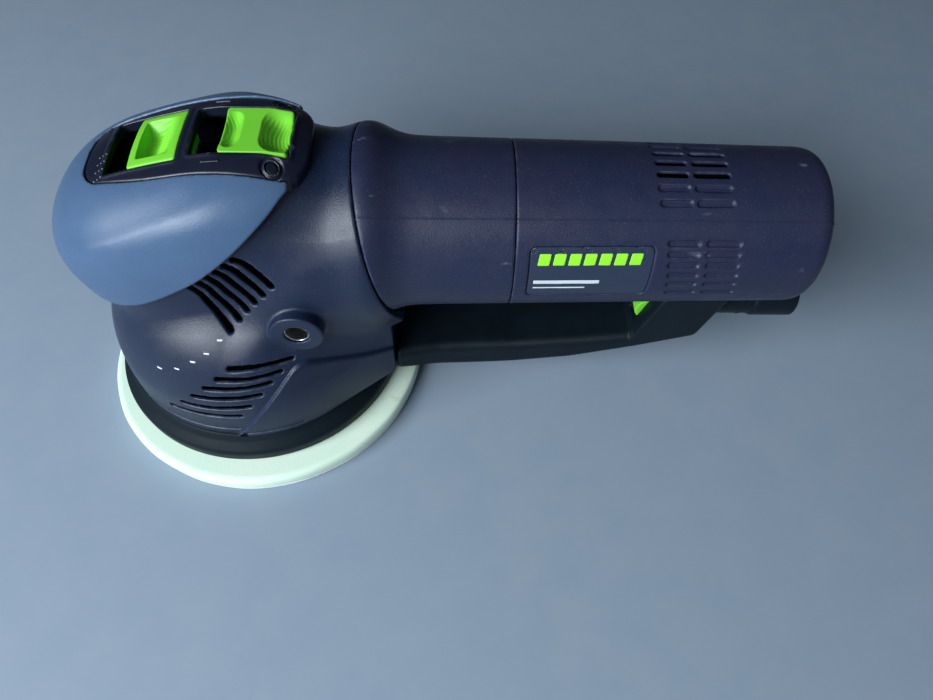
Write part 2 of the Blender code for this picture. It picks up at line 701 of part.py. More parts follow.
def pad_stack(pad_axis):
    """Felt face, foam pad, backing plate, hub and gear that turn on the eccentric pin."""
    felt = turned("pad_felt_face", [(0.0, 0.0), (PAD_RADIUS - 0.0012, 0.0), (PAD_RADIUS - 0.0008, 0.0006),
                                    (PAD_RADIUS - 0.0008, FELT_TOP - GAP), (0.0, FELT_TOP - GAP)],
                  "pad_felt", PAD_AXIS, steps=FINE_STEPS)
    rim = [(0.0, FELT_TOP), (PAD_RADIUS - 0.0009, FELT_TOP), (PAD_RADIUS, 0.0032), (PAD_RADIUS, 0.0072)]
    rim += [(PAD_RADIUS - 0.0010, 0.0088), (PAD_RADIUS - 0.0026, PAD_TOP), (0.0, PAD_TOP)]
    foam = turned("foam_pad", rim, "pad_foam", PAD_AXIS, steps=FINE_STEPS)
    backing = ring("backing_plate", 0.0046, 0.0600, PAD_TOP + GAP, PLATE_TOP, "black_plastic", PAD_AXIS,
                   steps=40)
    hub_profile = [(0.0300, PLATE_TOP + GAP), (0.0300, 0.0152), (0.0190, 0.0165), (0.0190, 0.0370)]
    hub_profile += [(0.0143, 0.0370), (0.0143, 0.0185), (0.0046, 0.0185), (0.0046, PLATE_TOP + GAP)]
    hub = turned("pad_hub", hub_profile, "cast_alloy", PAD_AXIS)
    bolt_profile = [(0.0, 0.0190), (0.0100, 0.0190), (0.0100, 0.0214), (0.0, 0.0214)]
    bolt = turned("pad_bolt_washer", bolt_profile, "steel", PAD_AXIS, steps=24)
    stud_outline = [(0.0, PAD_TOP + GAP), (0.0042, PAD_TOP + GAP), (0.0042, 0.0186), (0.0, 0.0186)]
    stud = turned("pad_bolt", stud_outline, "steel", PAD_AXIS, steps=24)
    bearing = ring("pad_bearing", 0.0064, 0.0139, 0.0222, 0.0355, "steel", PAD_AXIS)
    root = GEAR_MODULE * PAD_TEETH / 2 - 0.0011
    tip = GEAR_MODULE * PAD_TEETH / 2 + 0.0008
    teeth = gear_outline(PAD_TEETH, root, tip, 0.60, 0.24, ORBIT_ANGLE)
    gear = plate("pad_gear", [teeth, circle(0.0190 + GAP)], 0.0300, 0.0362, "steel", centre=PAD_AXIS)
    follow(pad_axis, felt, foam, backing, hub, bolt, stud, bearing, gear)


def static_drive():
    """Skirt, bearing bridge, ring gear and the spindle bearings, all fixed in the head."""
    skirt = [(0.0606, 0.0236), (0.0625, 0.0206), (0.0660, 0.0172), (0.0666, 0.0155), (0.0662, 0.0103)]
    skirt += [(0.0644, 0.0103), (0.0646, 0.0145), (0.0615, 0.0180), (0.0575, 0.0205), (0.0575, 0.0236)]
    turned("skirt_ring", skirt, "black_rubber", SPINDLE_AXIS, steps=FINE_STEPS)
    bridge = [(0.0180, 0.0745), (0.0180, 0.0640), (0.0215, 0.0640), (0.0215, 0.0490), (0.0543, 0.0490)]
    bridge += [(0.0543, 0.0460), (0.0370, 0.0460), (0.0370, 0.0292), (0.0334, 0.0292), (0.0334, 0.0450)]
    bridge += [(0.0150, 0.0450), (0.0150, 0.0500), (0.0178, 0.0500), (0.0178, 0.0625), (0.0143, 0.0625)]
    bridge += [(0.0143, 0.0745)]
    turned("bearing_bridge", bridge, "cast_alloy", SPINDLE_AXIS)
    root = GEAR_MODULE * RING_TEETH / 2 + 0.0011
    tip = GEAR_MODULE * RING_TEETH / 2 - 0.0008
    start = ORBIT_ANGLE + math.pi / RING_TEETH
    teeth = gear_outline(RING_TEETH, root, tip, 0.60, 0.24, start)
    plate("ring_gear", [circle(0.0331), teeth], 0.0296, 0.0368, "steel")
    ring("lower_spindle_bearing", 0.0078, 0.0174, 0.0504, 0.0620, "steel")
    ring("upper_spindle_bearing", 0.0064, 0.0139, 0.0650, 0.0735, "steel")


def spindle_set(spindle_axis):
    """Eccentric spindle with its counterweight, crown gear and nut."""
    shaft = [(0.0, 0.0435), (0.0120, 0.0435), (0.0120, 0.0490), (0.0075, 0.0490), (0.0075, 0.0630)]
    shaft += [(0.0060, 0.0640), (0.0060, 0.0878), (0.0, 0.0878)]
    spindle = turned("eccentric_spindle", shaft, "steel", SPINDLE_AXIS)
    pin_foot, pin_top = (ORBIT_X, ORBIT_Y, 0.0225), (ORBIT_X, ORBIT_Y, 0.0450)
    join(spindle, rod("eccentric_pin", pin_foot, pin_top, 0.0060))
    weight = ring("counterweight", 0.0100, 0.0290, 0.0380, 0.0431, "cast_alloy")
    lightened = block("light_half", (-0.05, -0.05, 0.030), (0.05, 0.0, 0.050))
    toward_pin = Vector((math.cos(ORBIT_ANGLE), math.sin(ORBIT_ANGLE), 0.0))
    lightened.location = 0.025 * toward_pin + Vector((0.0, 0.0, 0.040))
    lightened.rotation_euler = (0.0, 0.0, ORBIT_ANGLE + math.radians(90.0))
    cut(weight, lightened)
    crown = ring("crown_gear", 0.0064, 0.0240, 0.0760, 0.0846, "steel")
    teeth = gear_outline(CROWN_TEETH, 0.0170, 0.0234, 0.30, 0.30, math.pi / CROWN_TEETH)
    join(crown, plate("crown_teeth", [teeth, circle(0.0150)], 0.0840, 0.0862))
    nut = ring("spindle_nut", 0.0075, 0.0100, 0.0850, 0.0876, "steel", steps=6)
    follow(spindle_axis, spindle, weight, crown, nut)


# ---------------------------------------------------------------- motor
def motor_ring(name, inner, outer, start, end, look, steps=ROUND_STEPS):
    return ring(name, inner, outer, start, end, look, MOTOR_AXIS, "X", steps)


def armature_set(motor_axis):
    steps = [(0.0141, 0.0039), (0.0380, 0.0039), (0.0380, 0.0049), (0.0510, 0.0049), (0.0510, 0.0060)]
    steps += [(0.1400, 0.0060), (0.1400, 0.0049), (0.1570, 0.0049)]
    profile = [(0.0, steps[0][0])] + [(radius, x) for x, radius in steps] + [(0.0, steps[-1][0])]
    shaft = turned("armature_shaft", profile, "steel", MOTOR_AXIS, "X", 24)
    teeth = gear_outline(PINION_TEETH, 0.0064, PINION_TIP, 0.56, 0.26, -math.pi / 2)
    pinion = plate("bevel_pinion", [teeth, circle(0.0042, 24)], 0.0176, 0.0236, "steel", "X", MOTOR_AXIS)
    core = motor_ring("armature_core", 0.0064, 0.0158, 0.0700, 0.1180, "iron_laminate")
    commutator = motor_ring("commutator", 0.0064, 0.0110, 0.1240, 0.1370, "brass", 24)
    fan = cooling_fan()
    follow(motor_axis, shaft, pinion, core, commutator, fan)


def cooling_fan():
    fan = motor_ring("cooling_fan", 0.0064, 0.0265, 0.0540, 0.0560, "black_plastic")
    blades = []
    for number in range(9):
        turn = 2.0 * math.pi * number / 9
        blade = block("fan_blade", (0.0555, -0.0006, 0.0090), (0.0640, 0.0006, 0.0262))
        blade.rotation_euler = (turn, 0.0, 0.0)
        middle = Vector((0.05975, 0.0, 0.0176))
        blade.location = Vector(MOTOR_AXIS) + Matrix.Rotation(turn, 3, "X") @ middle
        blades.append(blade)
    return join(fan, *blades)


def static_motor():
    motor_ring("front_motor_bearing", 0.0053, 0.0130, 0.0410, 0.0490, "steel")
    motor_ring("bearing_plate", 0.0134, 0.0290, 0.0420, 0.0465, "cast_alloy")
    motor_ring("stator", 0.0166, 0.0275, 0.0700, 0.1180, "iron_laminate")
    motor_ring("rear_motor_bearing", 0.0053, 0.0110, 0.1480, 0.1550, "steel")
    motor_ring("rear_bearing_holder", 0.0114, 0.0286, 0.1490, 0.1530, "black_plastic")
    for side, sign in (("right", 1.0), ("left", -1.0)):
        near, far = sorted((sign * 0.0125, sign * 0.0230))
        holder = block("brush_holder_" + side, (0.1265, near, BARREL_Z - 0.0042),
                       (0.1345, far, BARREL_Z + 0.0042), "brass")
        room_low = (0.1279, -0.03, BARREL_Z - 0.0028)
        cut(holder, block("brush_room", room_low, (0.1331, 0.03, BARREL_Z + 0.0028)))
        near, far = sorted((sign * 0.0114, sign * 0.0200))
        block("carbon_brush_" + side, (0.1283, near, BARREL_Z - 0.0024), (0.1327, far, BARREL_Z + 0.0024),
              "carbon")
    block("electronics_module", (0.1640, -0.0160, 0.0840), (0.2040, 0.0160, 0.1000), "circuit")


def handle_inserts():
    for side, sign in (("right", 1.0), ("left", -1.0)):
        ring("handle_insert_" + side, THREAD_RADIUS, 0.0051, sign * 0.0320, sign * 0.0450, "steel",
             (BOSS_X, 0.0, BOSS_Z), "Y", 20)


def build():
    gear_housing()
    head_grip()
    switch_panel()
    barrel_front_shell()
    barrel_rear_shell()
    power_inlet()
    extraction_duct()
    hose_port()
    speed_dial()
    power_slider()
    mode_selector()
    spindle_axis = axis_empty("spindle_axis", SPINDLE_AXIS)
    pad_stack(axis_empty("pad_axis", PAD_AXIS, spindle_axis))
    static_drive()
    spindle_set(spindle_axis)
    armature_set(axis_empty("motor_axis", MOTOR_AXIS))
    static_motor()
    handle_inserts()


build()
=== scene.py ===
"""Looks of the dual action polisher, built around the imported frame.

The visible shells are closed surfaces of fields: a point is inside a piece where its field is
negative, and surface() meshes the place where it is zero. Metres, +Z up, the barrel along +X.
"""
import json
import math

import bmesh
import bpy
import numpy as np
from mathutils import Matrix, Vector


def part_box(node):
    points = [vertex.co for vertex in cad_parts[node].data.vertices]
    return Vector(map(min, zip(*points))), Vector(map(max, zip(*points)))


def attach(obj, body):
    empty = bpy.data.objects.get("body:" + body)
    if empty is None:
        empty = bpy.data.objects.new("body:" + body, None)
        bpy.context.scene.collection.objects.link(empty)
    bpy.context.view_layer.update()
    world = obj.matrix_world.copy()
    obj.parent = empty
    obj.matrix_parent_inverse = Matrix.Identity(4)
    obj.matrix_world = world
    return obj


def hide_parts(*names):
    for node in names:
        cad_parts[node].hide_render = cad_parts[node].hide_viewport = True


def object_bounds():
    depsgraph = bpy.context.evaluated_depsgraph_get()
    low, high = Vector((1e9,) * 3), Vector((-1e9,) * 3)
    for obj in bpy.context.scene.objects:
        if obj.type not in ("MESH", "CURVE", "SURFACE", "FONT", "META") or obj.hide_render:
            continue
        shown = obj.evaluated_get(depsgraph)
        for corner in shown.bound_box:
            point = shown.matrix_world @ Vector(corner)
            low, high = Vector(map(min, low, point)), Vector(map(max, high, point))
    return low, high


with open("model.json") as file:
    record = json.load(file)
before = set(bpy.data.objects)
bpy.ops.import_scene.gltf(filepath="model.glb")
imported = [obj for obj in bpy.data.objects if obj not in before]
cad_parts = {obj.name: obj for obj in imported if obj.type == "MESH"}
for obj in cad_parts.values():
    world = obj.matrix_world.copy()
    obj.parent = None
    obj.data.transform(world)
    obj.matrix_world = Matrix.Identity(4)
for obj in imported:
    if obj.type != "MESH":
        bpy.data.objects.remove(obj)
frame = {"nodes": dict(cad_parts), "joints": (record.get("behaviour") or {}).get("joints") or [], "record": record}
CAD_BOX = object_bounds()

PIVOT = {joint["name"]: Vector(joint.get("pos_m") or (0.0, 0.0, 0.0)) for joint in frame["joints"]}
SEAT = {mount["name"]: Vector(mount["pos_m"]) for mount in frame["record"]["mounts"]}

# ---------------------------------------------------------------- dimensions
GAP = 0.00035
BELL_RADIUS = 0.0604
BELL_LIP_Z = 0.0240
BELL_FLAT_Z = 0.0300
BELL_RISE = 0.0600
BELL_POWER = 2.5
WALL_FOOT_Z = 0.0460
WALL_LEAN = 0.26
SHOULDER_LINE = [(-0.0200, 0.0400), (0.0000, 0.0580), (0.0150, 0.0760), (0.0300, 0.0920), (0.0450, 0.0965),
                 (0.0900, 0.0965)]
SHOULDER_TILT = math.radians(50.0)
WALL_TOP_Z = 0.1060
WALL_END_X = 0.0800
BULB_TILT = math.radians(18.0)
BULB_X, BULB_Z = -0.0125, 0.1000
BULB_BEHIND, BULB_AHEAD, BULB_HALF_Y, BULB_HALF_Z = 0.0660, 0.0485, 0.0400, 0.0330
GRIP_THICK = 0.0024
PANEL_PROUD = 0.0018
SHELL = 0.0030
SLOT_WALL = 0.0014
BARREL_WALL = 0.0026
# Half thickness of the near-black sheets behind open slots, which are painted shade.
SHADE_SHEET_HALF = 0.0002
BARREL_Z = PIVOT["armature_spin"].z
JOINT_X = 0.1147
BARREL_END_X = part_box("barrel_rear_shell")[1][0]
SEAM_TOP_X, SEAM_TOP_Z, SEAM_SLOPE = 0.0560, 0.1270, 0.22
DUCT_START_X = 0.0660
GAP_ROOF_Z = 0.0570
BOSS_X = SEAT["side_handle_seat_left"].x
BOSS_Z = 0.0780
BOSS_FACE_Y = abs(SEAT["side_handle_seat_left"].y)
BOSS_RADIUS = 0.0103
BOSS_BORE = 0.0055
BOSS_MOUTH = 0.0047
BOSS_BORE_END_Y = 0.0452
SLOT_DEPTH_Y = 0.0200
THIN_ROUND_SLOTS = 0.0030
ROOT_FOOT, ROOT_PEAK, ROOT_END = (-0.0015, 0.0240), (0.0300, 0.0632), (0.0680, 0.0400)
ROOT_RISE = 0.0016
PORT_Z = SEAT["hose_port_rim"].z - 0.0100
PORT_BORE = 0.0087
LABEL = (0.1433, 0.0978, 0.0233, 0.0118)       # x and z of the middle, half length, half height
SLIDER_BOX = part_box("power_slider")
BUTTON_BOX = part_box("mode_button")
SLIDER_TRAVEL, BUTTON_TRAVEL = 0.0090, 0.0100
SCREW_SPOTS = {"right": (0.0300, 0.0166), "left": (0.0300, -0.0166)}
PAD_AXIS = PIVOT["pad_spin"]


# ---------------------------------------------------------------- field helpers
def blend_min(a, b, width):
    """Union of two fields with a fillet of about this width."""
    mix = np.clip(0.5 + 0.5 * (b - a) / width, 0.0, 1.0)
    return b * (1.0 - mix) + a * mix - width * mix * (1.0 - mix)


def blend_max(a, b, width):
    """Intersection of two fields with its edge rounded over about this width."""
    return -blend_min(-a, -b, width)


def super_norm(terms, power):
    return sum(np.maximum(term, 0.0) ** power for term in terms) ** (1.0 / power)


def capsule(u, v, start, end, half):
    """A slot with round ends in a plane."""
    du, dv = end[0] - start[0], end[1] - start[1]
    along = np.clip(((u - start[0]) * du + (v - start[1]) * dv) / (du * du + dv * dv), 0.0, 1.0)
    return np.hypot(u - start[0] - along * du, v - start[1] - along * dv) - half


def rounded_box(u, v, half_u, half_v, radius):
    over_u, over_v = np.abs(u) - half_u + radius, np.abs(v) - half_v + radius
    outside = np.hypot(np.maximum(over_u, 0.0), np.maximum(over_v, 0.0))
    return outside + np.minimum(np.maximum(over_u, over_v), 0.0) - radius


def line_side(u, v, start, end):
    """Distance to the left of the line from start to end."""
    du, dv = end[0] - start[0], end[1] - start[1]
    return ((v - start[1]) * du - (u - start[0]) * dv) / math.hypot(du, dv)


def smooth_loop(points, steps=5):
    """A closed curve through the points."""
    count = len(points)
    loop = []
    for i in range(count):
        p0, p1, p2, p3 = (np.array(points[(i + j) % count]) for j in (-1, 0, 1, 2))
        for step in range(steps):
            t = step / steps
            loop.append(tuple(0.5 * (2 * p1 + (p2 - p0) * t + (2 * p0 - 5 * p1 + 4 * p2 - p3) * t ** 2
                                     + (3 * p1 - p0 - 3 * p2 + p3) * t ** 3)))
    return loop


def polygon_field(u, v, points):
    """Signed distance to a polygon in a plane."""
    distance = np.full(np.broadcast(u, v).shape, 1.0)
    inside = np.zeros(distance.shape, bool)
    for (u0, v0), (u1, v1) in zip(points, points[1:] + points[:1]):
        du, dv = u1 - u0, v1 - v0
        along = np.clip(((u - u0) * du + (v - v0) * dv) / (du * du + dv * dv), 0.0, 1.0)
        distance = np.minimum(distance, np.hypot(u - u0 - along * du, v - v0 - along * dv))
        if dv != 0.0:
            inside ^= ((v0 > v) != (v1 > v)) & (du * (v - v0) / dv + u0 > u)
    return np.where(inside, -distance, distance)


def soft_curve(u, points, spread=0.0015):
    """Heights of a line through the points, with its corners eased."""
    along = np.array([point[0] for point in points])
    heights = np.array([point[1] for point in points])
    shifts = (-2.0, -1.0, 0.0, 1.0, 2.0)
    return sum(np.interp(u + shift * spread, along, heights) for shift in shifts) / len(shifts)


# ---------------------------------------------------------------- the housing as fields
def soft_step(value, start, end):
    """Rises smoothly from 0 to 1 between start and end."""
    share = np.clip((value - start) / (end - start), 0.0, 1.0)
    return share * share * (3.0 - 2.0 * share)


def bell_radius(z):
    rise = np.clip((z - BELL_FLAT_Z) / BELL_RISE, 0.0, 0.999)
    return BELL_RADIUS * (1.0 - rise ** BELL_POWER) ** (1.0 / BELL_POWER)


def bell_field(x, y, z):
    rise = np.maximum(z - BELL_FLAT_Z, 0.0) / BELL_RISE
    return (super_norm([np.hypot(x, y) / BELL_RADIUS, rise], BELL_POWER) - 1.0) * BELL_RADIUS


def barrel_radius(x):
    """The barrel thins to the rear, swells at the seam and runs on as the neck of the head."""
    body = 0.0333 - 0.0175 * np.maximum(x - 0.078, 0.0)
    neck = 0.0029 / (1.0 + np.exp((x - 0.052) / 0.006))
    hump = 0.0048 * np.exp(-((x - 0.060) / 0.0095) ** 2)
    return body + neck + hump


def neck_field(x, y, z):
    radius = barrel_radius(x)
    nose = np.maximum(-0.010 - x, 0.0) / 0.0455
    return (super_norm([np.hypot(y, z - BARREL_Z) / radius, nose], 2.2) - 1.0) * radius


def wall_field(x, y, z):
    """Nearly upright side walls from the bell back to the duct, sloping in above a diagonal shoulder."""
    radius = bell_radius(np.minimum(z, WALL_FOOT_Z)) - WALL_LEAN * np.maximum(z - WALL_FOOT_Z, 0.0)
    end_half = 0.025 + 0.006 / (1.0 + np.exp((0.068 - z) / 0.006))
    reach = np.hypot(DUCT_START_X, end_half)
    slant = np.arctan2(end_half, DUCT_START_X) + np.arccos(radius / reach)
    plane = x * np.cos(slant) + np.abs(y) * np.sin(slant) - radius
    plan = np.minimum(np.hypot(x, y) - radius, np.maximum(plane, radius * np.cos(slant) - x))
    above = (z - soft_curve(x, SHOULDER_LINE, 0.0040)) * 0.75
    shoulder = plan * math.cos(SHOULDER_TILT) + above * math.sin(SHOULDER_TILT)
    body = blend_max(plan, shoulder, 0.0080)
    return np.maximum(body, np.maximum(z - WALL_TOP_Z, x - WALL_END_X))


def bulb_field(x, y, z):
    """The palm grip: a tilted egg around the front of the head, longer behind its middle than ahead of it."""
    out, above = x - BULB_X, z - BULB_Z
    along = out * math.cos(BULB_TILT) + above * math.sin(BULB_TILT)
    up = above * math.cos(BULB_TILT) - out * math.sin(BULB_TILT)
    reach = np.where(along > 0.0, BULB_BEHIND, BULB_AHEAD)
    terms = [np.abs(along) / reach, np.abs(y) / BULB_HALF_Y, np.abs(up) / BULB_HALF_Z]
    return (super_norm(terms, 2.4) - 1.0) * BULB_HALF_Z


def housing_field(x, y, z):
    """The head's outer skin: the bell, its side walls, the neck and the core of the grip, run together."""
    width = 0.00001 + 0.004 * soft_step(z, WALL_FOOT_Z + 0.002, WALL_FOOT_Z + 0.020)
    body = blend_min(bell_field(x, y, z), wall_field(x, y, z), width)
    body = blend_min(body, neck_field(x, y, z), 0.012)
    return blend_min(body, bulb_field(x, y, z) + GRIP_THICK, 0.006)


def cover_field(x, y, z):
    """The outer skin of the soft grip and of the switch panel."""
    return blend_min(bulb_field(x, y, z), housing_field(x, y, z) - PANEL_PROUD, 0.003)


def barrel_skin(x, y, z):
    return np.hypot(y, z - BARREL_Z) - barrel_radius(x)


def behind_seam(x, z, offset=0.0):
    return (x - SEAM_TOP_X - (SEAM_TOP_Z - z) * SEAM_SLOPE - offset) / math.hypot(1.0, SEAM_SLOPE)


# ---------------------------------------------------------------- meshing a field
def sample(field, axes):
    """Field values on the grid, worked out in slabs to save memory."""
    x, y, z = axes
    values = np.empty((len(x), len(y), len(z)), np.float32)
    for start in range(0, len(x), 16):
        slab = x[start:start + 16, None, None]
        values[start:start + 16] = field(slab, y[None, :, None], z[None, None, :])
    return values


CORNERS = [(i, j, k) for i in (0, 1) for j in (0, 1) for k in (0, 1)]
EDGES = [(a, b) for a in range(8) for b in range(a + 1, 8)
         if sum(abs(p - q) for p, q in zip(CORNERS[a], CORNERS[b])) == 1]


def crossing_points(values, cells, axes, step):
    """For each cell, the mean of the points where its edges cross the surface."""
    corners = np.stack([values[cells[:, 0] + i, cells[:, 1] + j, cells[:, 2] + k]
                        for i, j, k in CORNERS], axis=1).astype(float)
    total = np.zeros((len(cells), 3))
    count = np.zeros(len(cells))
    for a, b in EDGES:
        crosses = (corners[:, a] < 0.0) != (corners[:, b] < 0.0)
        fall = np.where(crosses, corners[:, a] - corners[:, b], 1.0)
        share = (corners[:, a] / fall)[:, None]
        start, end = np.array(CORNERS[a], float), np.array(CORNERS[b], float)
        total += np.where(crosses[:, None], start + share * (end - start), 0.0)
        count += crosses
    origin = np.array([axis[0] for axis in axes])
    return origin + (cells + total / count[:, None]) * step


def crossing_quads(inside, index):
    """One quad of cell points round each grid edge that crosses the surface."""
    quads = []
    for axis in range(3):
        grid, cells = np.moveaxis(inside, axis, 0), np.moveaxis(index, axis, 0)
        near, far = grid[:-1, 1:-1, 1:-1], grid[1:, 1:-1, 1:-1]
        i, j, k = np.nonzero(near != far)
        loop = np.stack([cells[i, j, k], cells[i, j + 1, k], cells[i, j + 1, k + 1], cells[i, j, k + 1]], 1)
        forwards = near[i, j, k] != (axis == 1)
        quads.append(np.where(forwards[:, None], loop, loop[:, ::-1]))
    return np.concatenate(quads)


def gradient(field, points, reach):
    base = field(*points.T)
    slopes = []
    for axis in range(3):
        moved = points.copy()
        moved[:, axis] += reach
        slopes.append((field(*moved.T) - base) / reach)
    return base, np.stack(slopes, axis=1)


def surface(name, field, low, high, step, look, *nodes, body="tool_body"):
    """A closed mesh of the surface where the field is zero; it stands for the given CAD nodes."""
    axes = [np.arange(a - 2.5 * step, b + 3.5 * step, step) for a, b in zip(low, high)]
    values = sample(field, axes)
    inside = values < 0.0
    count = sum(inside[i:inside.shape[0] - 1 + i, j:inside.shape[1] - 1 + j, k:inside.shape[2] - 1 + k]
                .astype(np.int8) for i, j, k in CORNERS)
    mixed = (count > 0) & (count < 8)
    cells = np.argwhere(mixed)
    index = np.full(mixed.shape, -1, np.int64)
    index[mixed] = np.arange(len(cells))
    points = crossing_points(values, cells, axes, step)
    for _ in range(2):
        base, slopes = gradient(field, points, step * 0.1)
        steepness = np.maximum((slopes ** 2).sum(axis=1), 0.05)
        move = -slopes * (base / steepness)[:, None]
        points += np.clip(move, -0.5 * step, 0.5 * step)
    mesh = bpy.data.meshes.new(name)
    mesh.from_pydata(points.tolist(), [], crossing_quads(inside, index).tolist())
    mesh.shade_smooth()
    return add_piece(name, mesh, look, *nodes, body=body)


def shell(name, field, step, look, node, body="tool_body"):
    """A surface in the box of the CAD node that it stands for."""
    return surface(name, field, *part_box(node), step, look, node, body=body)


def add_piece(name, mesh, look, *nodes, body):
    piece = bpy.data.objects.new(name, mesh)
    bpy.context.scene.collection.objects.link(piece)
    piece.data.materials.append(LOOKS[look][0])
    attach(piece, body)
    if nodes:
        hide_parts(*nodes)
    return piece


# ---------------------------------------------------------------- materials
def add_noise(tree, scale, detail=3.0, stretch=None):
    """Noise in the object's own space; its scale is in waves per metre."""
    place = tree.nodes.new("ShaderNodeTexCoord")
    noise = tree.nodes.new("ShaderNodeTexNoise")
    noise.inputs["Scale"].default_value = scale
    noise.inputs["Detail"].default_value = detail
    source = place.outputs["Object"]
    if stretch:
        mapping = tree.nodes.new("ShaderNodeMapping")
        mapping.inputs["Scale"].default_value = stretch
        tree.links.new(source, mapping.inputs["Vector"])
        source = mapping.outputs["Vector"]
    tree.links.new(source, noise.inputs["Vector"])
    return noise.outputs["Fac"]


def spread(tree, value, low, high, start=0.35, end=0.65):
    """Map a noise value so that start gives low and end gives high."""
    scaled = tree.nodes.new("ShaderNodeMapRange")
    scaled.inputs["From Min"].default_value = start
    scaled.inputs["From Max"].default_value = end
    scaled.inputs["To Min"].default_value = low
    scaled.inputs["To Max"].default_value = high
    tree.links.new(value, scaled.inputs["Value"])
    return scaled.outputs["Result"]


def noisy(tree, scale, low, high, start=0.35, end=0.65, **more):
    """Noise of this scale, spread from low to high."""
    return spread(tree, add_noise(tree, scale, **more), low, high, start, end)


def mix_colour(tree, share, first, second):
    """Mix two colours or sockets by a share socket."""
    mix = tree.nodes.new("ShaderNodeMix")
    mix.data_type = "RGBA"
    tree.links.new(share, mix.inputs["Factor"])
    for socket, colour in (("A", first), ("B", second)):
        target = [entry for entry in mix.inputs if entry.name == socket and entry.type == "RGBA"][0]
        if isinstance(colour, tuple):
            target.default_value = (*colour, 1.0)
        else:
            tree.links.new(colour, target)
    return [entry for entry in mix.outputs if entry.type == "RGBA"][0]


def multiply(tree, first, second):
    product = tree.nodes.new("ShaderNodeMath")
    product.operation = "MULTIPLY"
    tree.links.new(first, product.inputs[0])
    tree.links.new(second, product.inputs[1])
    return product.outputs[0]


def moulded(name, colour, shade, rough, grain, depth, wear=None, wear_share=0.5, glint_amount=0.0, sheen=0.0,
            metallic=0.0, index=1.45):
    """Moulded or machined stuff: two tones, fine grain, uneven roughness, edges worn pale and, where asked for,
    pale specks that are painted glints of the grain.
    """
    made = bpy.data.materials.new(name)
    made.use_nodes = True
    tree = made.node_tree
    shader = tree.nodes["Principled BSDF"]
    shader.inputs["Metallic"].default_value = metallic
    shader.inputs["IOR"].default_value = index
    shader.inputs["Sheen Weight"].default_value = sheen
    tone = mix_colour(tree, noisy(tree, 45.0, 0.0, 1.0), colour, shade)
    # Pale specks in the wear colour, mixed into the base colour: painted glints standing in for glitter of the
    # fine grain.
    if glint_amount > 0.0:
        painted_glints = noisy(tree, 2600.0, 0.0, glint_amount, 0.68, 0.76, detail=1.0)
        tone = mix_colour(tree, painted_glints, tone, wear or (0.5, 0.5, 0.5))
    if wear:
        edges = tree.nodes.new("ShaderNodeNewGeometry").outputs["Pointiness"]
        worn = spread(tree, edges, 0.0, wear_share, 0.53, 0.60)
        patchy = noisy(tree, 220.0, 0.0, 1.0, 0.40, 0.60)
        tone = mix_colour(tree, multiply(tree, worn, patchy), tone, wear)
    tree.links.new(tone, shader.inputs["Base Color"])
    uneven = noisy(tree, 160.0, *rough)
    tree.links.new(uneven, shader.inputs["Roughness"])
    bump = tree.nodes.new("ShaderNodeBump")
    bump.inputs["Strength"].default_value = 1.0
    bump.inputs["Distance"].default_value = depth
    tree.links.new(add_noise(tree, grain, 2.0), bump.inputs["Height"])
    tree.links.new(bump.outputs["Normal"], shader.inputs["Normal"])
    return made


def scuffed(made, colour, amount):
    """Add sparse pale scuffs and scratches to a moulded material."""
    tree = made.node_tree
    shader = tree.nodes["Principled BSDF"]
    tone = shader.inputs["Base Color"].links[0].from_socket
    spots = noisy(tree, 130.0, 0.0, 1.0, 0.66, 0.72, detail=6.0, stretch=(0.5, 1.0, 1.0))
    areas = noisy(tree, 18.0, 0.0, amount, 0.48, 0.60)
    marked = mix_colour(tree, multiply(tree, spots, areas), tone, colour)
    tree.links.new(marked, shader.inputs["Base Color"])
    return made


NAVY, NAVY_SHADE, NAVY_WEAR = (0.007, 0.014, 0.038), (0.009, 0.016, 0.042), (0.22, 0.26, 0.34)
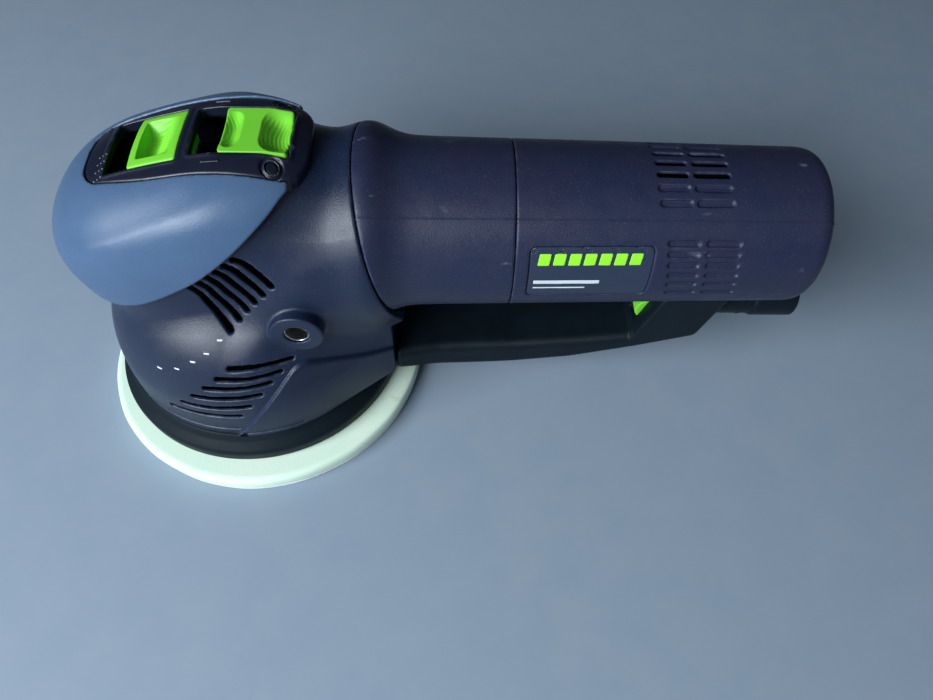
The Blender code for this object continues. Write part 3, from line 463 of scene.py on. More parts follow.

# For the housing, barrel and grip, the number after wear_share is the amount of painted glint specks.
LOOKS = {
    "panel": (moulded("navy_panel", (0.006, 0.009, 0.022), (0.008, 0.010, 0.024), (0.30, 0.36), 1200.0,
                      0.00003, NAVY_WEAR, 0.40), "housing_plastic"),
    "housing": (moulded("navy_housing", NAVY, NAVY_SHADE, (0.29, 0.37), 3000.0, 0.00011,
                        NAVY_WEAR, 0.35, 0.25), "housing_plastic"),
    "barrel": (scuffed(moulded("navy_barrel", (0.013, 0.019, 0.050), (0.017, 0.020, 0.050), (0.38, 0.48),
                               2200.0, 0.00010, NAVY_WEAR, 0.35, 0.25), (0.42, 0.44, 0.50), 0.55),
               "housing_plastic"),
    "grip": (moulded("soft_grip_skin", (0.056, 0.108, 0.205), (0.062, 0.116, 0.215), (0.32, 0.40), 2800.0,
                     0.00007, (0.34, 0.44, 0.56), 0.45, 0.15), "soft_grip"),
    "green": (moulded("bright_green", (0.180, 0.640, 0.040), (0.170, 0.600, 0.036), (0.38, 0.46), 1500.0,
                      0.00003, (0.45, 0.80, 0.25), 0.25), "green_plastic"),
    "black": (moulded("black_moulding", (0.003, 0.007, 0.011), (0.004, 0.009, 0.013), (0.40, 0.50), 2200.0,
                      0.00008, (0.10, 0.13, 0.16), 0.40, index=1.28), "black_plastic"),
    # A rough, barely reflecting near-black sheet set behind open slots: painted shade inside them.
    "shade_sheet": (moulded("slot_screen_skin", (0.0010, 0.0011, 0.0014), (0.0014, 0.0015, 0.0018), (0.80, 0.90),
                       1200.0, 0.00002, index=1.05), "black_plastic"),
    "rubber": (moulded("black_rubber_skin", (0.004, 0.009, 0.013), (0.006, 0.012, 0.017), (0.46, 0.56),
                       1200.0, 0.00005, (0.06, 0.08, 0.10), 0.30, index=1.22), "black_rubber"),
    "film": (moulded("label_print_film", (0.022, 0.034, 0.066), (0.024, 0.036, 0.068), (0.34, 0.40), 900.0,
                     0.00002), "label_film"),
    "green_print": (moulded("green_print", (0.32, 0.85, 0.03), (0.30, 0.80, 0.03), (0.40, 0.46), 900.0,
                            0.00001), "green_plastic"),
    "white_print": (moulded("white_print", (0.70, 0.76, 0.80), (0.62, 0.68, 0.74), (0.42, 0.50), 900.0,
                            0.00001), "label_film"),
    "grey_print": (moulded("grey_print", (0.20, 0.24, 0.29), (0.16, 0.20, 0.25), (0.42, 0.50), 900.0,
                           0.00001), "label_film"),
    "foam": (scuffed(moulded("pad_foam_skin", (0.66, 0.86, 0.72), (0.72, 0.88, 0.74), (0.80, 0.92), 1800.0,
                             0.00012, (0.85, 0.90, 0.80), 0.2), (0.42, 0.40, 0.24), 0.30), "pad_foam"),
    "felt": (moulded("pad_nap", (0.74, 0.78, 0.72), (0.66, 0.72, 0.66), (0.88, 0.98), 2600.0, 0.00025,
                     sheen=0.4), "pad_felt"),
    "steel": (moulded("ground_steel", (0.56, 0.57, 0.58), (0.48, 0.49, 0.50), (0.24, 0.36), 1800.0, 0.00002,
                      (0.75, 0.75, 0.76), 0.4, metallic=1.0), "steel"),
    "alloy": (moulded("cast_alloy_skin", (0.55, 0.56, 0.57), (0.47, 0.48, 0.49), (0.42, 0.56), 1100.0,
                      0.00008, (0.75, 0.75, 0.76), 0.4, metallic=1.0), "cast_alloy"),
    "iron": (moulded("lamination_stack", (0.26, 0.26, 0.27), (0.20, 0.20, 0.21), (0.44, 0.56), 1300.0,
                     0.00006, (0.5, 0.5, 0.5), 0.4, metallic=1.0), "iron_laminate"),
    "brass": (moulded("plain_brass", (0.70, 0.50, 0.20), (0.60, 0.42, 0.17), (0.26, 0.36), 1500.0, 0.00002,
                      (0.85, 0.70, 0.45), 0.4, metallic=1.0), "brass"),
    "carbon": (moulded("dull_carbon", (0.022, 0.022, 0.024), (0.030, 0.030, 0.032), (0.50, 0.62), 1500.0,
                       0.00005), "carbon"),
    "circuit": (moulded("potted_circuit", (0.010, 0.110, 0.050), (0.014, 0.140, 0.060), (0.34, 0.44), 500.0,
                        0.00005), "circuit"),
}


# ---------------------------------------------------------------- head
def panel_outline(inset):
    """The switch panel seen from above: round at the front, widest near the rear."""
    front = [(-0.0400 + inset, 0.0060), (-0.0385 + inset, 0.0110), (-0.0350, 0.0148 - inset)]
    side = [(-0.0300, 0.0166 - inset), (-0.0140, 0.0194 - inset), (0.0050, 0.0202 - inset)]
    rear = [(0.0260, 0.0210 - inset), (0.0360, 0.0194 - inset), (0.0410 - inset, 0.0125)]
    rear += [(0.0420 - inset, 0.0050)]
    half = front + side + rear
    return smooth_loop(half + [(x, -y) for x, y in half[::-1]], 3)


def smooth_line(points):
    """The open line through points with its corners cut twice."""
    for _ in range(2):
        cut = [points[0]]
        for start, end in zip(points, points[1:]):
            cut += [between([start], [end], 0.25)[0], between([start], [end], 0.75)[0]]
        points = cut + [points[-1]]
    return points


def bent_slot(u, v, points, half):
    """A slot with round ends along a smoothly bent line."""
    points = smooth_line(points)
    return np.minimum.reduce([capsule(u, v, start, end, half) for start, end in zip(points, points[1:])])


def between(first, last, share):
    return [tuple(np.array(a) + share * (np.array(b) - np.array(a))) for a, b in zip(first, last)]


UPPER_FIRST = [(-0.0045, 0.0971), (-0.0019, 0.0936), (0.0000, 0.0867), (0.0029, 0.0819), (0.0062, 0.0778)]
UPPER_LAST = [(0.0138, 0.1092), (0.0171, 0.1075), (0.0200, 0.1039), (0.0226, 0.1007), (0.0250, 0.0977)]
UPPER_HALF = 0.00140
LOWER_SLOTS = [[(0.0045, 0.0653), (0.0151, 0.0660), (0.0277, 0.0646)],
               [(-0.0012, 0.0608), (0.0098, 0.0606), (0.0230, 0.0606)],
               [(-0.0070, 0.0562), (0.0045, 0.0560), (0.0186, 0.0565)],
               [(-0.0131, 0.0508), (-0.0021, 0.0508), (0.0137, 0.0511)],
               [(-0.0193, 0.0448), (-0.0073, 0.0447), (0.0085, 0.0453)],
               [(-0.0258, 0.0387), (-0.0136, 0.0394), (0.0035, 0.0391)]]
LOWER_HALF = 0.00125


def upper_vents(x, z):
    """Six slots behind the grip's lower edge, stepping up and back, each bent forwards at its top."""
    slots = [bent_slot(x, z, between(UPPER_FIRST, UPPER_LAST, number / 5), UPPER_HALF) for number in range(6)]
    return np.minimum.reduce(slots)


def lower_vents(x, z):
    """Six slots low on the side of the head."""
    return np.minimum.reduce([bent_slot(x, z, points, LOWER_HALF) for points in LOWER_SLOTS])


def head_skin(x, y, z):
    """The housing's skin with the raised root of the dust duct."""
    skin = housing_field(x, y, z)
    edges = blend_max(line_side(x, z, ROOT_FOOT, ROOT_PEAK), line_side(x, z, ROOT_PEAK, ROOT_END), 0.0060)
    return blend_min(skin, blend_max(skin - ROOT_RISE, edges, 0.0014), 0.0005)


def head_field(x, y, z):
    side = np.abs(y)
    from_boss = np.hypot(x - BOSS_X, z - BOSS_Z)
    boss = blend_max(from_boss - BOSS_RADIUS, side - BOSS_FACE_Y, 0.0009)
    body = blend_min(head_skin(x, y, z), np.maximum(boss, 0.030 - side), 0.0012)
    body = blend_max(body, BELL_LIP_Z - z, 0.0008)
    body = blend_max(body, behind_seam(x, z), 0.0009)
    body = blend_max(body, -np.maximum(DUCT_START_X - x, z - GAP_ROOF_Z), 0.0009)
    skin = housing_field(x, y, z)
    rear = np.where(z < GAP_ROOF_Z + SHELL, DUCT_START_X - SHELL, 0.095)
    hollow = np.maximum(skin + SHELL, np.maximum(0.008 - z, x - rear))
    slots = np.minimum(lower_vents(x, z), upper_vents(x, z))
    thinned = np.maximum(skin + SLOT_WALL, np.maximum(slots - THIN_ROUND_SLOTS, SLOT_DEPTH_Y - side))
    body = np.maximum(body, -np.minimum(hollow, thinned))
    lip_line = np.where(x < ROOT_FOOT[0] + 0.003, 0.0286, 0.0270)
    lip_groove = np.maximum(np.abs(z - lip_line) - 0.0004, -(skin - ROOT_RISE + 0.0028))
    lip_groove = np.maximum(lip_groove, x - 0.028)
    body = blend_max(body, -lip_groove, 0.0004)
    body = blend_max(body, -np.maximum(slots, SLOT_DEPTH_Y - side), 0.0004)
    bore = np.maximum(from_boss - BOSS_BORE, np.maximum(SLOT_DEPTH_Y - side, side - BOSS_BORE_END_Y))
    body = np.maximum(body, -bore)
    body = blend_max(body, -np.maximum(from_boss - BOSS_MOUTH, SLOT_DEPTH_Y - side), 0.0010)
    mouth = np.maximum(rounded_box(y, z - 0.0286, 0.0150, 0.0034, 0.0015), 0.058 - x)
    body = np.maximum(body, -mouth)
    hatch = np.maximum(rounded_box(x - 0.001, y, 0.0385, 0.0160, 0.006), 0.105 - z)
    return np.maximum(body, -hatch)


def shade_sheet_field(x, y, z):
    """A thin near-black sheet behind the slots in the head's sides: painted shade that makes the slots look dark.
    """
    skin = housing_field(x, y, z)
    slots = np.minimum(lower_vents(x, z), upper_vents(x, z))
    sheet = np.abs(skin + SHELL - SHADE_SHEET_HALF) - SHADE_SHEET_HALF
    return np.maximum(np.maximum(sheet, slots - 0.0029), 0.024 - np.abs(y))


def make_head():
    # Near-black sheets behind the head's side slots paint the shade inside them.
    for side, sign in (("left", -1.0), ("right", 1.0)):
        near, far = sorted((sign * 0.024, sign * 0.062))
        surface("slot_screen_" + side, shade_sheet_field, (-0.032, near, 0.034), (0.034, far, 0.114), 0.0004,
                "shade_sheet")
    shell("head_housing", head_field, 0.0006, "housing", "gear_housing")


GRIP_EDGE = [(-0.0750, 0.1020), (-0.0620, 0.0905), (-0.0540, 0.0850), (-0.0460, 0.0825), (-0.0360, 0.0835),
             (-0.0240, 0.0886), (-0.0120, 0.0953), (0.0000, 0.1024), (0.0120, 0.1117), (0.0240, 0.1218),
             (0.0355, 0.1310)]
FOLD_LINE = [(-0.0700, 0.0970), (-0.0440, 0.1100), (-0.0110, 0.1235), (0.0220, 0.1350), (0.0400, 0.1400)]
FOLD_RISE = 0.0010


def fold_rise(x, z):
    """Height of the soft fold that runs along the upper flank of the grip."""
    above = (z - soft_curve(x, FOLD_LINE, 0.0030)) * 0.92
    fold = np.where(above > 0.0, np.exp(-(above / 0.0026) ** 2), np.exp(-(above / 0.0080) ** 2))
    ends = 1.0 / (1.0 + np.exp((-0.0460 - x) / 0.0040)) / (1.0 + np.exp((x - 0.0150) / 0.0040))
    return FOLD_RISE * fold * ends


def grip_field(x, y, z):
    outside = cover_field(x, y, z) - fold_rise(x, z) / (1.0 + np.exp((0.0190 - np.abs(y)) / 0.0015))
    inside = housing_field(x, y, z) - GAP
    below = (soft_curve(x, GRIP_EDGE) - z) * 0.85
    body = blend_max(outside, np.maximum(below, x - 0.0355), 0.0012)
    body = blend_max(body, -polygon_field(x, y, panel_outline(-0.0001)), 0.0007)
    return np.maximum(np.maximum(body, -inside), z - CAD_BOX[1].z)


def make_grip():
    shell("soft_grip_cover", grip_field, 0.0006, "grip", "head_grip")


def window(low, high, travel):
    """Middle and half sizes of the window that a slider moves in."""
    left, right = low.x - travel - GAP, high.x + GAP
    return (left + right) / 2, (right - left) / 2, (high.y - low.y) / 2 + GAP


POWER_WINDOW = window(*SLIDER_BOX, SLIDER_TRAVEL)
MODE_WINDOW = window(*BUTTON_BOX, BUTTON_TRAVEL)


def windows_field(x, y, radius=0.0012):
    return np.minimum(*[rounded_box(x - middle, y, half, wide, radius)
                        for middle, half, wide in (POWER_WINDOW, MODE_WINDOW)])


def panel_skin(x, y, z):
    """The panel's face, with low rims round the windows and a groove round each screw cap."""
    rim = np.exp(-((windows_field(x, y) - 0.0008) / 0.0007) ** 2)
    face = cover_field(x, y, z) + 0.0004 - 0.0003 * rim
    for spot_x, spot_y in SCREW_SPOTS.values():
        from_screw = np.hypot(x - spot_x, y - spot_y)
        face = face + 0.0006 * np.exp(-((from_screw - 0.0034) / 0.0005) ** 2)
    return face


def panel_field(x, y, z):
    outline = polygon_field(x, y, panel_outline(0.0004))
    body = blend_max(panel_skin(x, y, z), outline, 0.0008)
    body = blend_max(body, -windows_field(x, y), 0.0005)
    for spot_x, spot_y in SCREW_SPOTS.values():
        body = np.maximum(body, 0.0023 - np.hypot(x - spot_x, y - spot_y))
    return np.maximum(np.maximum(body, -(cover_field(x, y, z) + 0.0036)), z - CAD_BOX[1].z)


def make_panel():
    shell("control_panel", panel_field, 0.0004, "panel", "switch_panel")
    for side, (spot_x, spot_y) in SCREW_SPOTS.items():
        def cap(x, y, z, spot_x=spot_x, spot_y=spot_y):
            head = blend_max(cover_field(x, y, z) + 0.0007, np.hypot(x - spot_x, y - spot_y) - 0.0020, 0.0005)
            return np.maximum(head, 0.1300 - z)
        low = (spot_x - 0.0025, spot_y - 0.0025, 0.1300)
        high = (spot_x + 0.0025, spot_y + 0.0025, 0.1400)
        surface("screw_cap_" + side, cap, low, high, 0.00025, "black", "panel_screw_" + side)


def slider_field(x, y, z):
    """A block with a thumb dish that falls steeply at the front and rises in ribs to the rear."""
    low, high = SLIDER_BOX
    middle = (low.x + high.x) / 2
    body = rounded_box(x - middle, y, (high.x - low.x) / 2, (high.y - low.y) / 2, 0.0010)
    body = blend_max(body, cover_field(x, y, z) + 0.0002, 0.0008)
    bowl = np.clip((x - middle + 0.0062) / 0.0130, 0.0, 1.0)
    depth = 0.0052 * np.sin(np.pi * bowl ** 0.55) * (1.0 - (np.abs(y) / 0.0100) ** 4).clip(0.0)
    ribbed = soft_step(bowl, 0.30, 0.50) * soft_step(depth, 0.0008, 0.0020)
    ribs = 0.00030 * np.cos(2.0 * np.pi * y / 0.0019) * ribbed
    body = blend_max(body, cover_field(x, y, z) + 0.0002 + depth + ribs, 0.0006)
    return np.maximum(body, low.z - z)


def button_field(x, y, z):
    """A saddle: a small dip ahead of a cross ridge and a long ribbed dip behind it."""
    low, high = BUTTON_BOX
    middle = (low.x + high.x) / 2
    body = rounded_box(x - middle, y, (high.x - low.x) / 2, (high.y - low.y) / 2, 0.0012)
    along = x - middle
    ridge = along + 0.0018 + 0.0040 * (y / 0.0120) ** 2
    across = np.exp(-(np.abs(y) / 0.0098) ** 4)
    front = 0.0040 * np.exp(-((along + 0.0085) / 0.0040) ** 2) * across
    rear = 0.0040 * np.exp(-((along - 0.0066) / 0.0060) ** 2) * across
    ribs = 0.0
    for end in (-1.0, 1.0):
        arcs = np.cos(2.0 * np.pi * np.hypot(along - end * 0.0220, y) / 0.0013)
        ribs = ribs + 0.00007 * arcs * soft_step(end * ridge, 0.0030, 0.0060)
    ribs = ribs * soft_step(-np.abs(y), -0.0085, -0.0065)
    face = cover_field(x, y, z) - 0.0006 + front + rear + ribs
    body = blend_max(body, face, 0.0010)
    return np.maximum(body, np.maximum(low.z - z, z - high.z))


def make_sliders():
    shell("power_slider_cap", slider_field, 0.0003, "green", "power_slider", body="slider")
    low, high = BUTTON_BOX
    surface("mode_selector_cap", button_field, low, high + Vector((0.0, 0.0, 0.002)), 0.0003, "green",
            "mode_button", body="mode_button_body")


def floor_field(x, y, z):
    """The dark floor under the windows, slotted for the slider's arm and the selector's fork."""
    plate = np.maximum(rounded_box(x - 0.0015, y, 0.0350, 0.0150, 0.003), np.abs(z - 0.1192) - 0.0008)
    arm = rounded_box(x + 0.0175, y, 0.0095, 0.0048, 0.001)
    fork = rounded_box(x - 0.0240, y, 0.0078, 0.0058, 0.001)
    return np.maximum(plate, -np.minimum(arm, fork))


def make_window_floor():
    surface("window_floor", floor_field, (-0.034, -0.0155, 0.118), (0.037, 0.0155, 0.1205), 0.0004, "black")


# ---------------------------------------------------------------- barrel
def shell_field(x, y, z):
    """Outer skin of the barrel, closed and rounded at the rear end."""
    return blend_max(barrel_skin(x, y, z), x - BARREL_END_X, 0.0070)


def around(y, z):
    """Angle round the barrel: zero on top, positive towards the side at -Y."""
    return np.arctan2(-y, z - BARREL_Z)


def arc_from(x, y, z, degrees):
    """Length round the barrel from the line at this many degrees."""
    turn = around(y, z) - math.radians(degrees)
    return barrel_radius(x) * (np.mod(turn + np.pi, 2.0 * np.pi) - np.pi)


def vent_field(x, y, z, rows, spans, mirrored=False):
    """Rows of round-ended slots along X; each row has its angle and its shift along X."""
    if mirrored:
        y = -np.abs(y)
    slots = []
    for turn, shift in rows:
        arc = arc_from(x, y, z, turn)
        for start, end in spans:
            ends = (start + shift + VENT_HALF, 0.0), (end + shift - VENT_HALF, 0.0)
            slots.append(capsule(x, arc, *ends, VENT_HALF))
    return np.minimum.reduce(slots)


def parting_rise(x, y, z):
    """Fine raised lines along the barrel where the parts of its mould met."""
    return sum(PARTING_RISE * np.exp(-(arc_from(x, y, z, turn) / 0.0006) ** 2) for turn in PARTING_TURNS)


VENT_HALF = 0.00125
OPEN_ROWS = [(turn, 0.0) for turn in (-10.3, 0.0, 10.3)]
BLIND_ROWS = [(turn, 0.0006 * (abs(turn) > 30.0)) for turn in (-31.0, -20.6, 20.6, 31.0)]
VENT_SPANS = ((0.1666, 0.1784), (0.1802, 0.1940))
SIDE_ROWS = [(57.6, 0.0), (65.2, 0.0004), (73.4, 0.0011), (81.8, 0.0019), (90.5, 0.0026), (100.8, 0.0037)]
SIDE_SPANS = ((0.1709, 0.1829), (0.1852, 0.1982))
PARTING_TURNS = (-43.5, 43.5, 180.0)
PARTING_RISE = 0.00022
RECESS_DEPTH = 0.0009


def barrel_rear_field(x, y, z):
    skin = barrel_skin(x, y, z)
    body = shell_field(x, y, z) - parting_rise(x, y, z)
    body = blend_max(body, JOINT_X + GAP / 2 - x, 0.0006)
    vents = vent_field(x, y, z, OPEN_ROWS, VENT_SPANS)
    wall = np.where(vents < THIN_ROUND_SLOTS, SLOT_WALL, BARREL_WALL)
    body = np.maximum(body, -np.maximum(skin + wall, x - BARREL_END_X + BARREL_WALL))
    inlet = np.hypot(y, z - BARREL_Z) - 0.0125
    body = blend_max(body, -np.maximum(inlet, 0.2000 - x), 0.0010)
    body = blend_max(body, -vents, 0.0004)
    blind = vent_field(x, y, z, BLIND_ROWS, VENT_SPANS)
    side = vent_field(x, y, z, SIDE_ROWS, SIDE_SPANS, True)
    grooves = np.maximum(np.minimum(blind, side), -(skin + RECESS_DEPTH))
    body = blend_max(body, -grooves, 0.0004)
    middle_x, middle_z, half_length, half_height = LABEL
    recess = rounded_box(x - middle_x, z - middle_z, half_length, half_height, 0.0025)
    recess = np.maximum(recess, np.maximum(-(skin + RECESS_DEPTH), y + 0.010))
    return blend_max(body, -recess, 0.0005)


def barrel_front_field(x, y, z):
    skin = barrel_skin(x, y, z)
    body = blend_max(skin - parting_rise(x, y, z), -behind_seam(x, z, GAP), 0.0009)
    body = blend_max(body, x - JOINT_X + GAP / 2, 0.0006)
    return np.maximum(body, -(skin + BARREL_WALL))


def barrel_shade_sheet_field(x, y, z):
    """A thin near-black sheet under the open slots of the barrel: painted shade that makes them look dark."""
    sheet = np.abs(barrel_skin(x, y, z) + BARREL_WALL - SHADE_SHEET_HALF) - SHADE_SHEET_HALF
    vents = vent_field(x, y, z, OPEN_ROWS, VENT_SPANS)
    return np.maximum(np.maximum(sheet, vents - 0.0024), BARREL_Z + 0.010 - z)


def make_barrel():
    # A near-black sheet under the barrel's open vents paints the shade inside them.
    surface("barrel_shade_sheet", barrel_shade_sheet_field, (0.162, -0.012, 0.112), (0.198, 0.012, 0.126), 0.0004,
            "shade_sheet")
    shell("barrel_front", barrel_front_field, 0.0006, "barrel", "barrel_front_shell")
    shell("barrel_rear", barrel_rear_field, 0.0006, "barrel", "barrel_rear_shell")


# ---------------------------------------------------------------- dust duct
DUCT_OUTSIDE = [(0.0664, 0.0200, 0.0340, 0.0250), (0.0730, 0.0185, 0.0333, 0.0232),
                (0.0850, 0.0170, 0.0326, 0.0205), (0.1000, 0.0162, 0.0325, 0.0195),
                (0.1200, 0.0170, 0.0330, 0.0190), (0.1480, 0.0215, 0.0360, 0.0190),
                (0.1765, 0.0300, 0.0402, 0.0190), (0.1800, 0.0312, 0.0700, 0.0190),
                (0.1960, 0.0364, 0.0700, 0.0187), (0.2240, 0.0450, 0.0700, 0.0180)]
DUCT_INSIDE = [(0.0600, 0.0245, 0.0318, 0.0155), (0.0730, 0.0215, 0.0303, 0.0170),
               (0.0900, 0.0195, 0.0300, 0.0165), (0.1200, 0.0200, 0.0304, 0.0160),
               (0.1480, 0.0245, 0.0334, 0.0160), (0.1760, 0.0330, 0.0372, 0.0155),
               (0.1850, 0.0352, 0.0392, 0.0150), (0.1960, 0.0395, 0.0445, 0.0120),
               (0.2000, 0.0425, 0.0590, 0.0085)]
DUCT_END_LOW, DUCT_END_HIGH = (0.2010, 0.0340), (0.2185, 0.0940)
SOCKET_START_X = 0.1990


def station(x, stations, column):
    """One measure of the duct at x, eased between its stations."""
    return soft_curve(x, [(row[0], row[column]) for row in stations], 0.0012)


def duct_section(x, y, z, stations, radius):
    bottom = station(x, stations, 1)
    top = soft_curve(x, [(row[0], row[2]) for row in stations], 0.0018)
    half = station(x, stations, 3)
    over_y = np.abs(y) - half + radius
    over_z = np.abs(z - (bottom + top) / 2) - (top - bottom) / 2 + radius
    outside = np.hypot(np.maximum(over_y, 0.0), np.maximum(over_z, 0.0))
    return outside + np.minimum(np.maximum(over_y, over_z), 0.0) - radius


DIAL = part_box("speed_dial")
DIAL_MIDDLE = (DIAL[0] + DIAL[1]) / 2
DIAL_HALF = (DIAL[1] - DIAL[0]) / 2
DIAL_ROOM, DIAL_SIDE_ROOM = 0.0006, 0.0004


def duct_field(x, y, z):
    body = duct_section(x, y, z, DUCT_OUTSIDE, 0.0042)
    body = blend_max(body, DUCT_OUTSIDE[0][0] - x, 0.0020)
    end = -line_side(x, z, DUCT_END_LOW, DUCT_END_HIGH)
    body = blend_max(body, end, 0.0020)
    arch = np.hypot(y, z - BARREL_Z) - barrel_radius(x) - 0.0006
    body = blend_max(body, -arch, 0.0016)
    inside = np.maximum(duct_section(x, y, z, DUCT_INSIDE, 0.0030), x - 0.2000)
    body = np.maximum(body, -inside)
    socket = np.maximum(np.hypot(y, z - PORT_Z) - PORT_BORE, SOCKET_START_X - x)
    body = np.maximum(body, -socket)
    over_x = np.abs(x - DIAL_MIDDLE.x) - DIAL_HALF.x - DIAL_ROOM
    over_z = np.abs(z - DIAL_MIDDLE.z) - DIAL_HALF.z - DIAL_ROOM
    over_y = np.abs(y - DIAL_MIDDLE.y) - DIAL_HALF.y - DIAL_SIDE_ROOM
    pocket = np.maximum(np.maximum(over_x, over_z), np.maximum(over_y, 0.170 - x))
    return blend_max(body, -pocket, 0.0006)


def make_duct():
    shell("dust_duct", duct_field, 0.0006, "black", "extraction_duct")


# ---------------------------------------------------------------- turned pieces
def turned(name, profile, axis, centre, look, *nodes, body="tool_body", sides=144, wave=None):
    """A closed profile of (radius, distance along the axis) turned round X, Y or Z."""
    mesh = bpy.data.meshes.new(name)
    shape = bmesh.new()
    rings = []
    for step in range(sides):
        angle = 2.0 * math.pi * step / sides
        ring = []
        for radius, along in profile:
            reach = radius + (wave(angle, radius, along) if wave else 0.0)
            u, v = reach * math.cos(angle), reach * math.sin(angle)
            spot = {"x": (along, u, v), "y": (v, along, u), "z": (u, v, along)}[axis]
            ring.append(shape.verts.new(Vector(spot) + Vector(centre)))
        rings.append(ring)
    count = len(profile)
    for step in range(sides):
        near, far = rings[step], rings[(step + 1) % sides]
        for j in range(count):
            k = (j + 1) % count
            shape.faces.new((near[j], far[j], far[k], near[k]))
    shape.normal_update()
    bmesh.ops.recalc_face_normals(shape, faces=shape.faces)
    shape.to_mesh(mesh)
    shape.free()
    mesh.shade_smooth()
    return add_piece(name, mesh, look, *nodes, body=body)


def eased(points, radius=0.0006, steps=4):
    """Round every corner of a closed profile."""
    loop = []
    count = len(points)
    for i in range(count):
        corner = Vector(points[i])
        before, after = Vector(points[i - 1]) - corner, Vector(points[(i + 1) % count]) - corner
        cut = min(radius, before.length * 0.4, after.length * 0.4)
        start, end = corner + before.normalized() * cut, corner + after.normalized() * cut
        for step in range(steps + 1):
            t = step / steps
            loop.append(tuple(start * (1 - t) ** 2 + corner * 2 * t * (1 - t) + end * t ** 2))
    return loop


def make_hose_port():
    end_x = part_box("hose_port")[1].x
    slope = (DUCT_END_HIGH[0] - DUCT_END_LOW[0]) / (DUCT_END_HIGH[1] - DUCT_END_LOW[1])

    def port(x, y, z):
        radius = np.hypot(y, z - PORT_Z)
        thick = 0.0105 + 0.0008 / (1.0 + np.exp((0.2282 - x) / 0.00015))
        ring = 0.00035 * np.exp(-((x - 0.2225) / 0.0005) ** 2)
        rim = 0.0004 * np.exp(-((x - 0.2462) / 0.0007) ** 2)
        body = radius - thick - ring - np.minimum(rim, 0.0)
        start = (DUCT_END_LOW[0] + (z - DUCT_END_LOW[1]) * slope + GAP) - x
        body = blend_max(body, start, 0.0006)
        body = blend_max(body, x - end_x, 0.0009)
        return blend_max(body, PORT_BORE - radius, 0.0007)

    shell("dust_hose_port", port, 0.0005, "black", "hose_port")


SKIRT_PROFILE = [(0.0606, 0.0236), (0.0625, 0.0206), (0.0660, 0.0172), (0.0666, 0.0155), (0.0662, 0.0103),
                 (0.0644, 0.0103), (0.0646, 0.0145), (0.0615, 0.0180), (0.0575, 0.0205), (0.0575, 0.0236)]


def make_skirt():
    turned("rubber_skirt", eased(SKIRT_PROFILE, 0.0007), "z", (0.0, 0.0, 0.0), "rubber", "skirt_ring",
           sides=240)


def make_dial():
    radius, half = DIAL_HALF.x, DIAL_HALF.y

    def knurl(angle, reach, along):
        if reach < radius * 0.8:
            return 0.0
        return -0.00028 * (0.5 + 0.5 * math.cos(angle * 30))

    profile = eased([(0.0011, -half), (radius, -half), (radius, half), (0.0011, half)], 0.0007)
    turned("speed_wheel", profile, "y", DIAL_MIDDLE, "green", "speed_dial", body="dial", sides=240,
           wave=knurl)


# ---------------------------------------------------------------- pad
FELT_TOP = 0.0018


def make_pad():
    """The foam edge bulges out and wavers a little; the nap under it is a thin fibrous face."""
    centre = Vector((PAD_AXIS.x, PAD_AXIS.y, 0.0))
    foam_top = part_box("foam_pad")[1].z
    bore = 0.0150

    def waver(angle, radius, along):
        if radius < 0.060:
            return 0.0
        drift = 0.00018 * math.sin(3 * angle + 0.7) + 0.00012 * math.sin(7 * angle)
        return drift + 0.00007 * math.sin(19 * angle) - 0.0003

    rim = [(0.0741, FELT_TOP), (0.0748, 0.0032), (0.0750, 0.0050), (0.0749, 0.0072), (0.0741, 0.0088),
           (0.0724, foam_top)]
    foam = [(bore, FELT_TOP)] + rim + [(bore, foam_top)]
    piece = turned("foam_ring", eased(foam, 0.0008), "z", centre, "foam", "foam_pad", body="pad",
                   sides=288, wave=waver)
    nap_low, nap_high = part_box("pad_felt_face")
    face = [(0.0008, nap_low.z), (0.0742, nap_low.z), (0.0742, nap_high.z), (0.0008, nap_high.z)]
    piece = turned("nap_face", eased(face, 0.0005), "z", centre, "felt", "pad_felt_face", body="pad",
                   sides=288, wave=waver)


# ---------------------------------------------------------------- inlet and handle seats
def make_power_inlet():
    low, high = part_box("power_inlet")
    floor = low.x + 0.0030
    wall = eased([(0.0120, low.x), (0.0120, high.x), (0.0098, high.x), (0.0098, floor)], 0.0005)
    turned("inlet_socket", wall + [(0.0, floor), (0.0, low.x)], "x", (0.0, 0.0, BARREL_Z), "black",
           "power_inlet")


def make_inlet_pins():
    for side, place in (("left", -0.0040), ("right", 0.0040)):
        low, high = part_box("inlet_pin_" + side)
        radius = (high.z - low.z) / 2
        dome = [(radius * math.cos(turn), high.x - radius + radius * math.sin(turn))
                for turn in (0.0, 0.3, 0.6, 0.9, 1.2, 1.5)]
        turned("pin_" + side, [(0.0, low.x), (radius, low.x)] + dome + [(0.0, high.x)], "x",
               (0.0, place, BARREL_Z), "brass", "inlet_pin_" + side, sides=32)


INSERT_OUTER = 0.0051
INSERT_BORE = 0.0042
THREAD_PITCH = 0.00125


def make_handle_inserts():
    for side, sign in (("left", -1.0), ("right", 1.0)):
        low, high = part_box("handle_insert_" + side)
        turns = int((high.y - low.y) / THREAD_PITCH)
        crests = []
        for turn in range(turns):
            foot = low.y + (turn + 0.1) * THREAD_PITCH
            crests += [(INSERT_BORE, foot), (INSERT_BORE + 0.0005, foot + THREAD_PITCH / 2)]
        profile = [(INSERT_OUTER, high.y), (INSERT_OUTER, low.y), (INSERT_BORE, low.y)] + crests[1:]
        profile += [(INSERT_BORE, high.y)]
        turned("threaded_insert_" + side, profile, "y", (BOSS_X, 0.0, BOSS_Z), "steel",
               "handle_insert_" + side, sides=64)


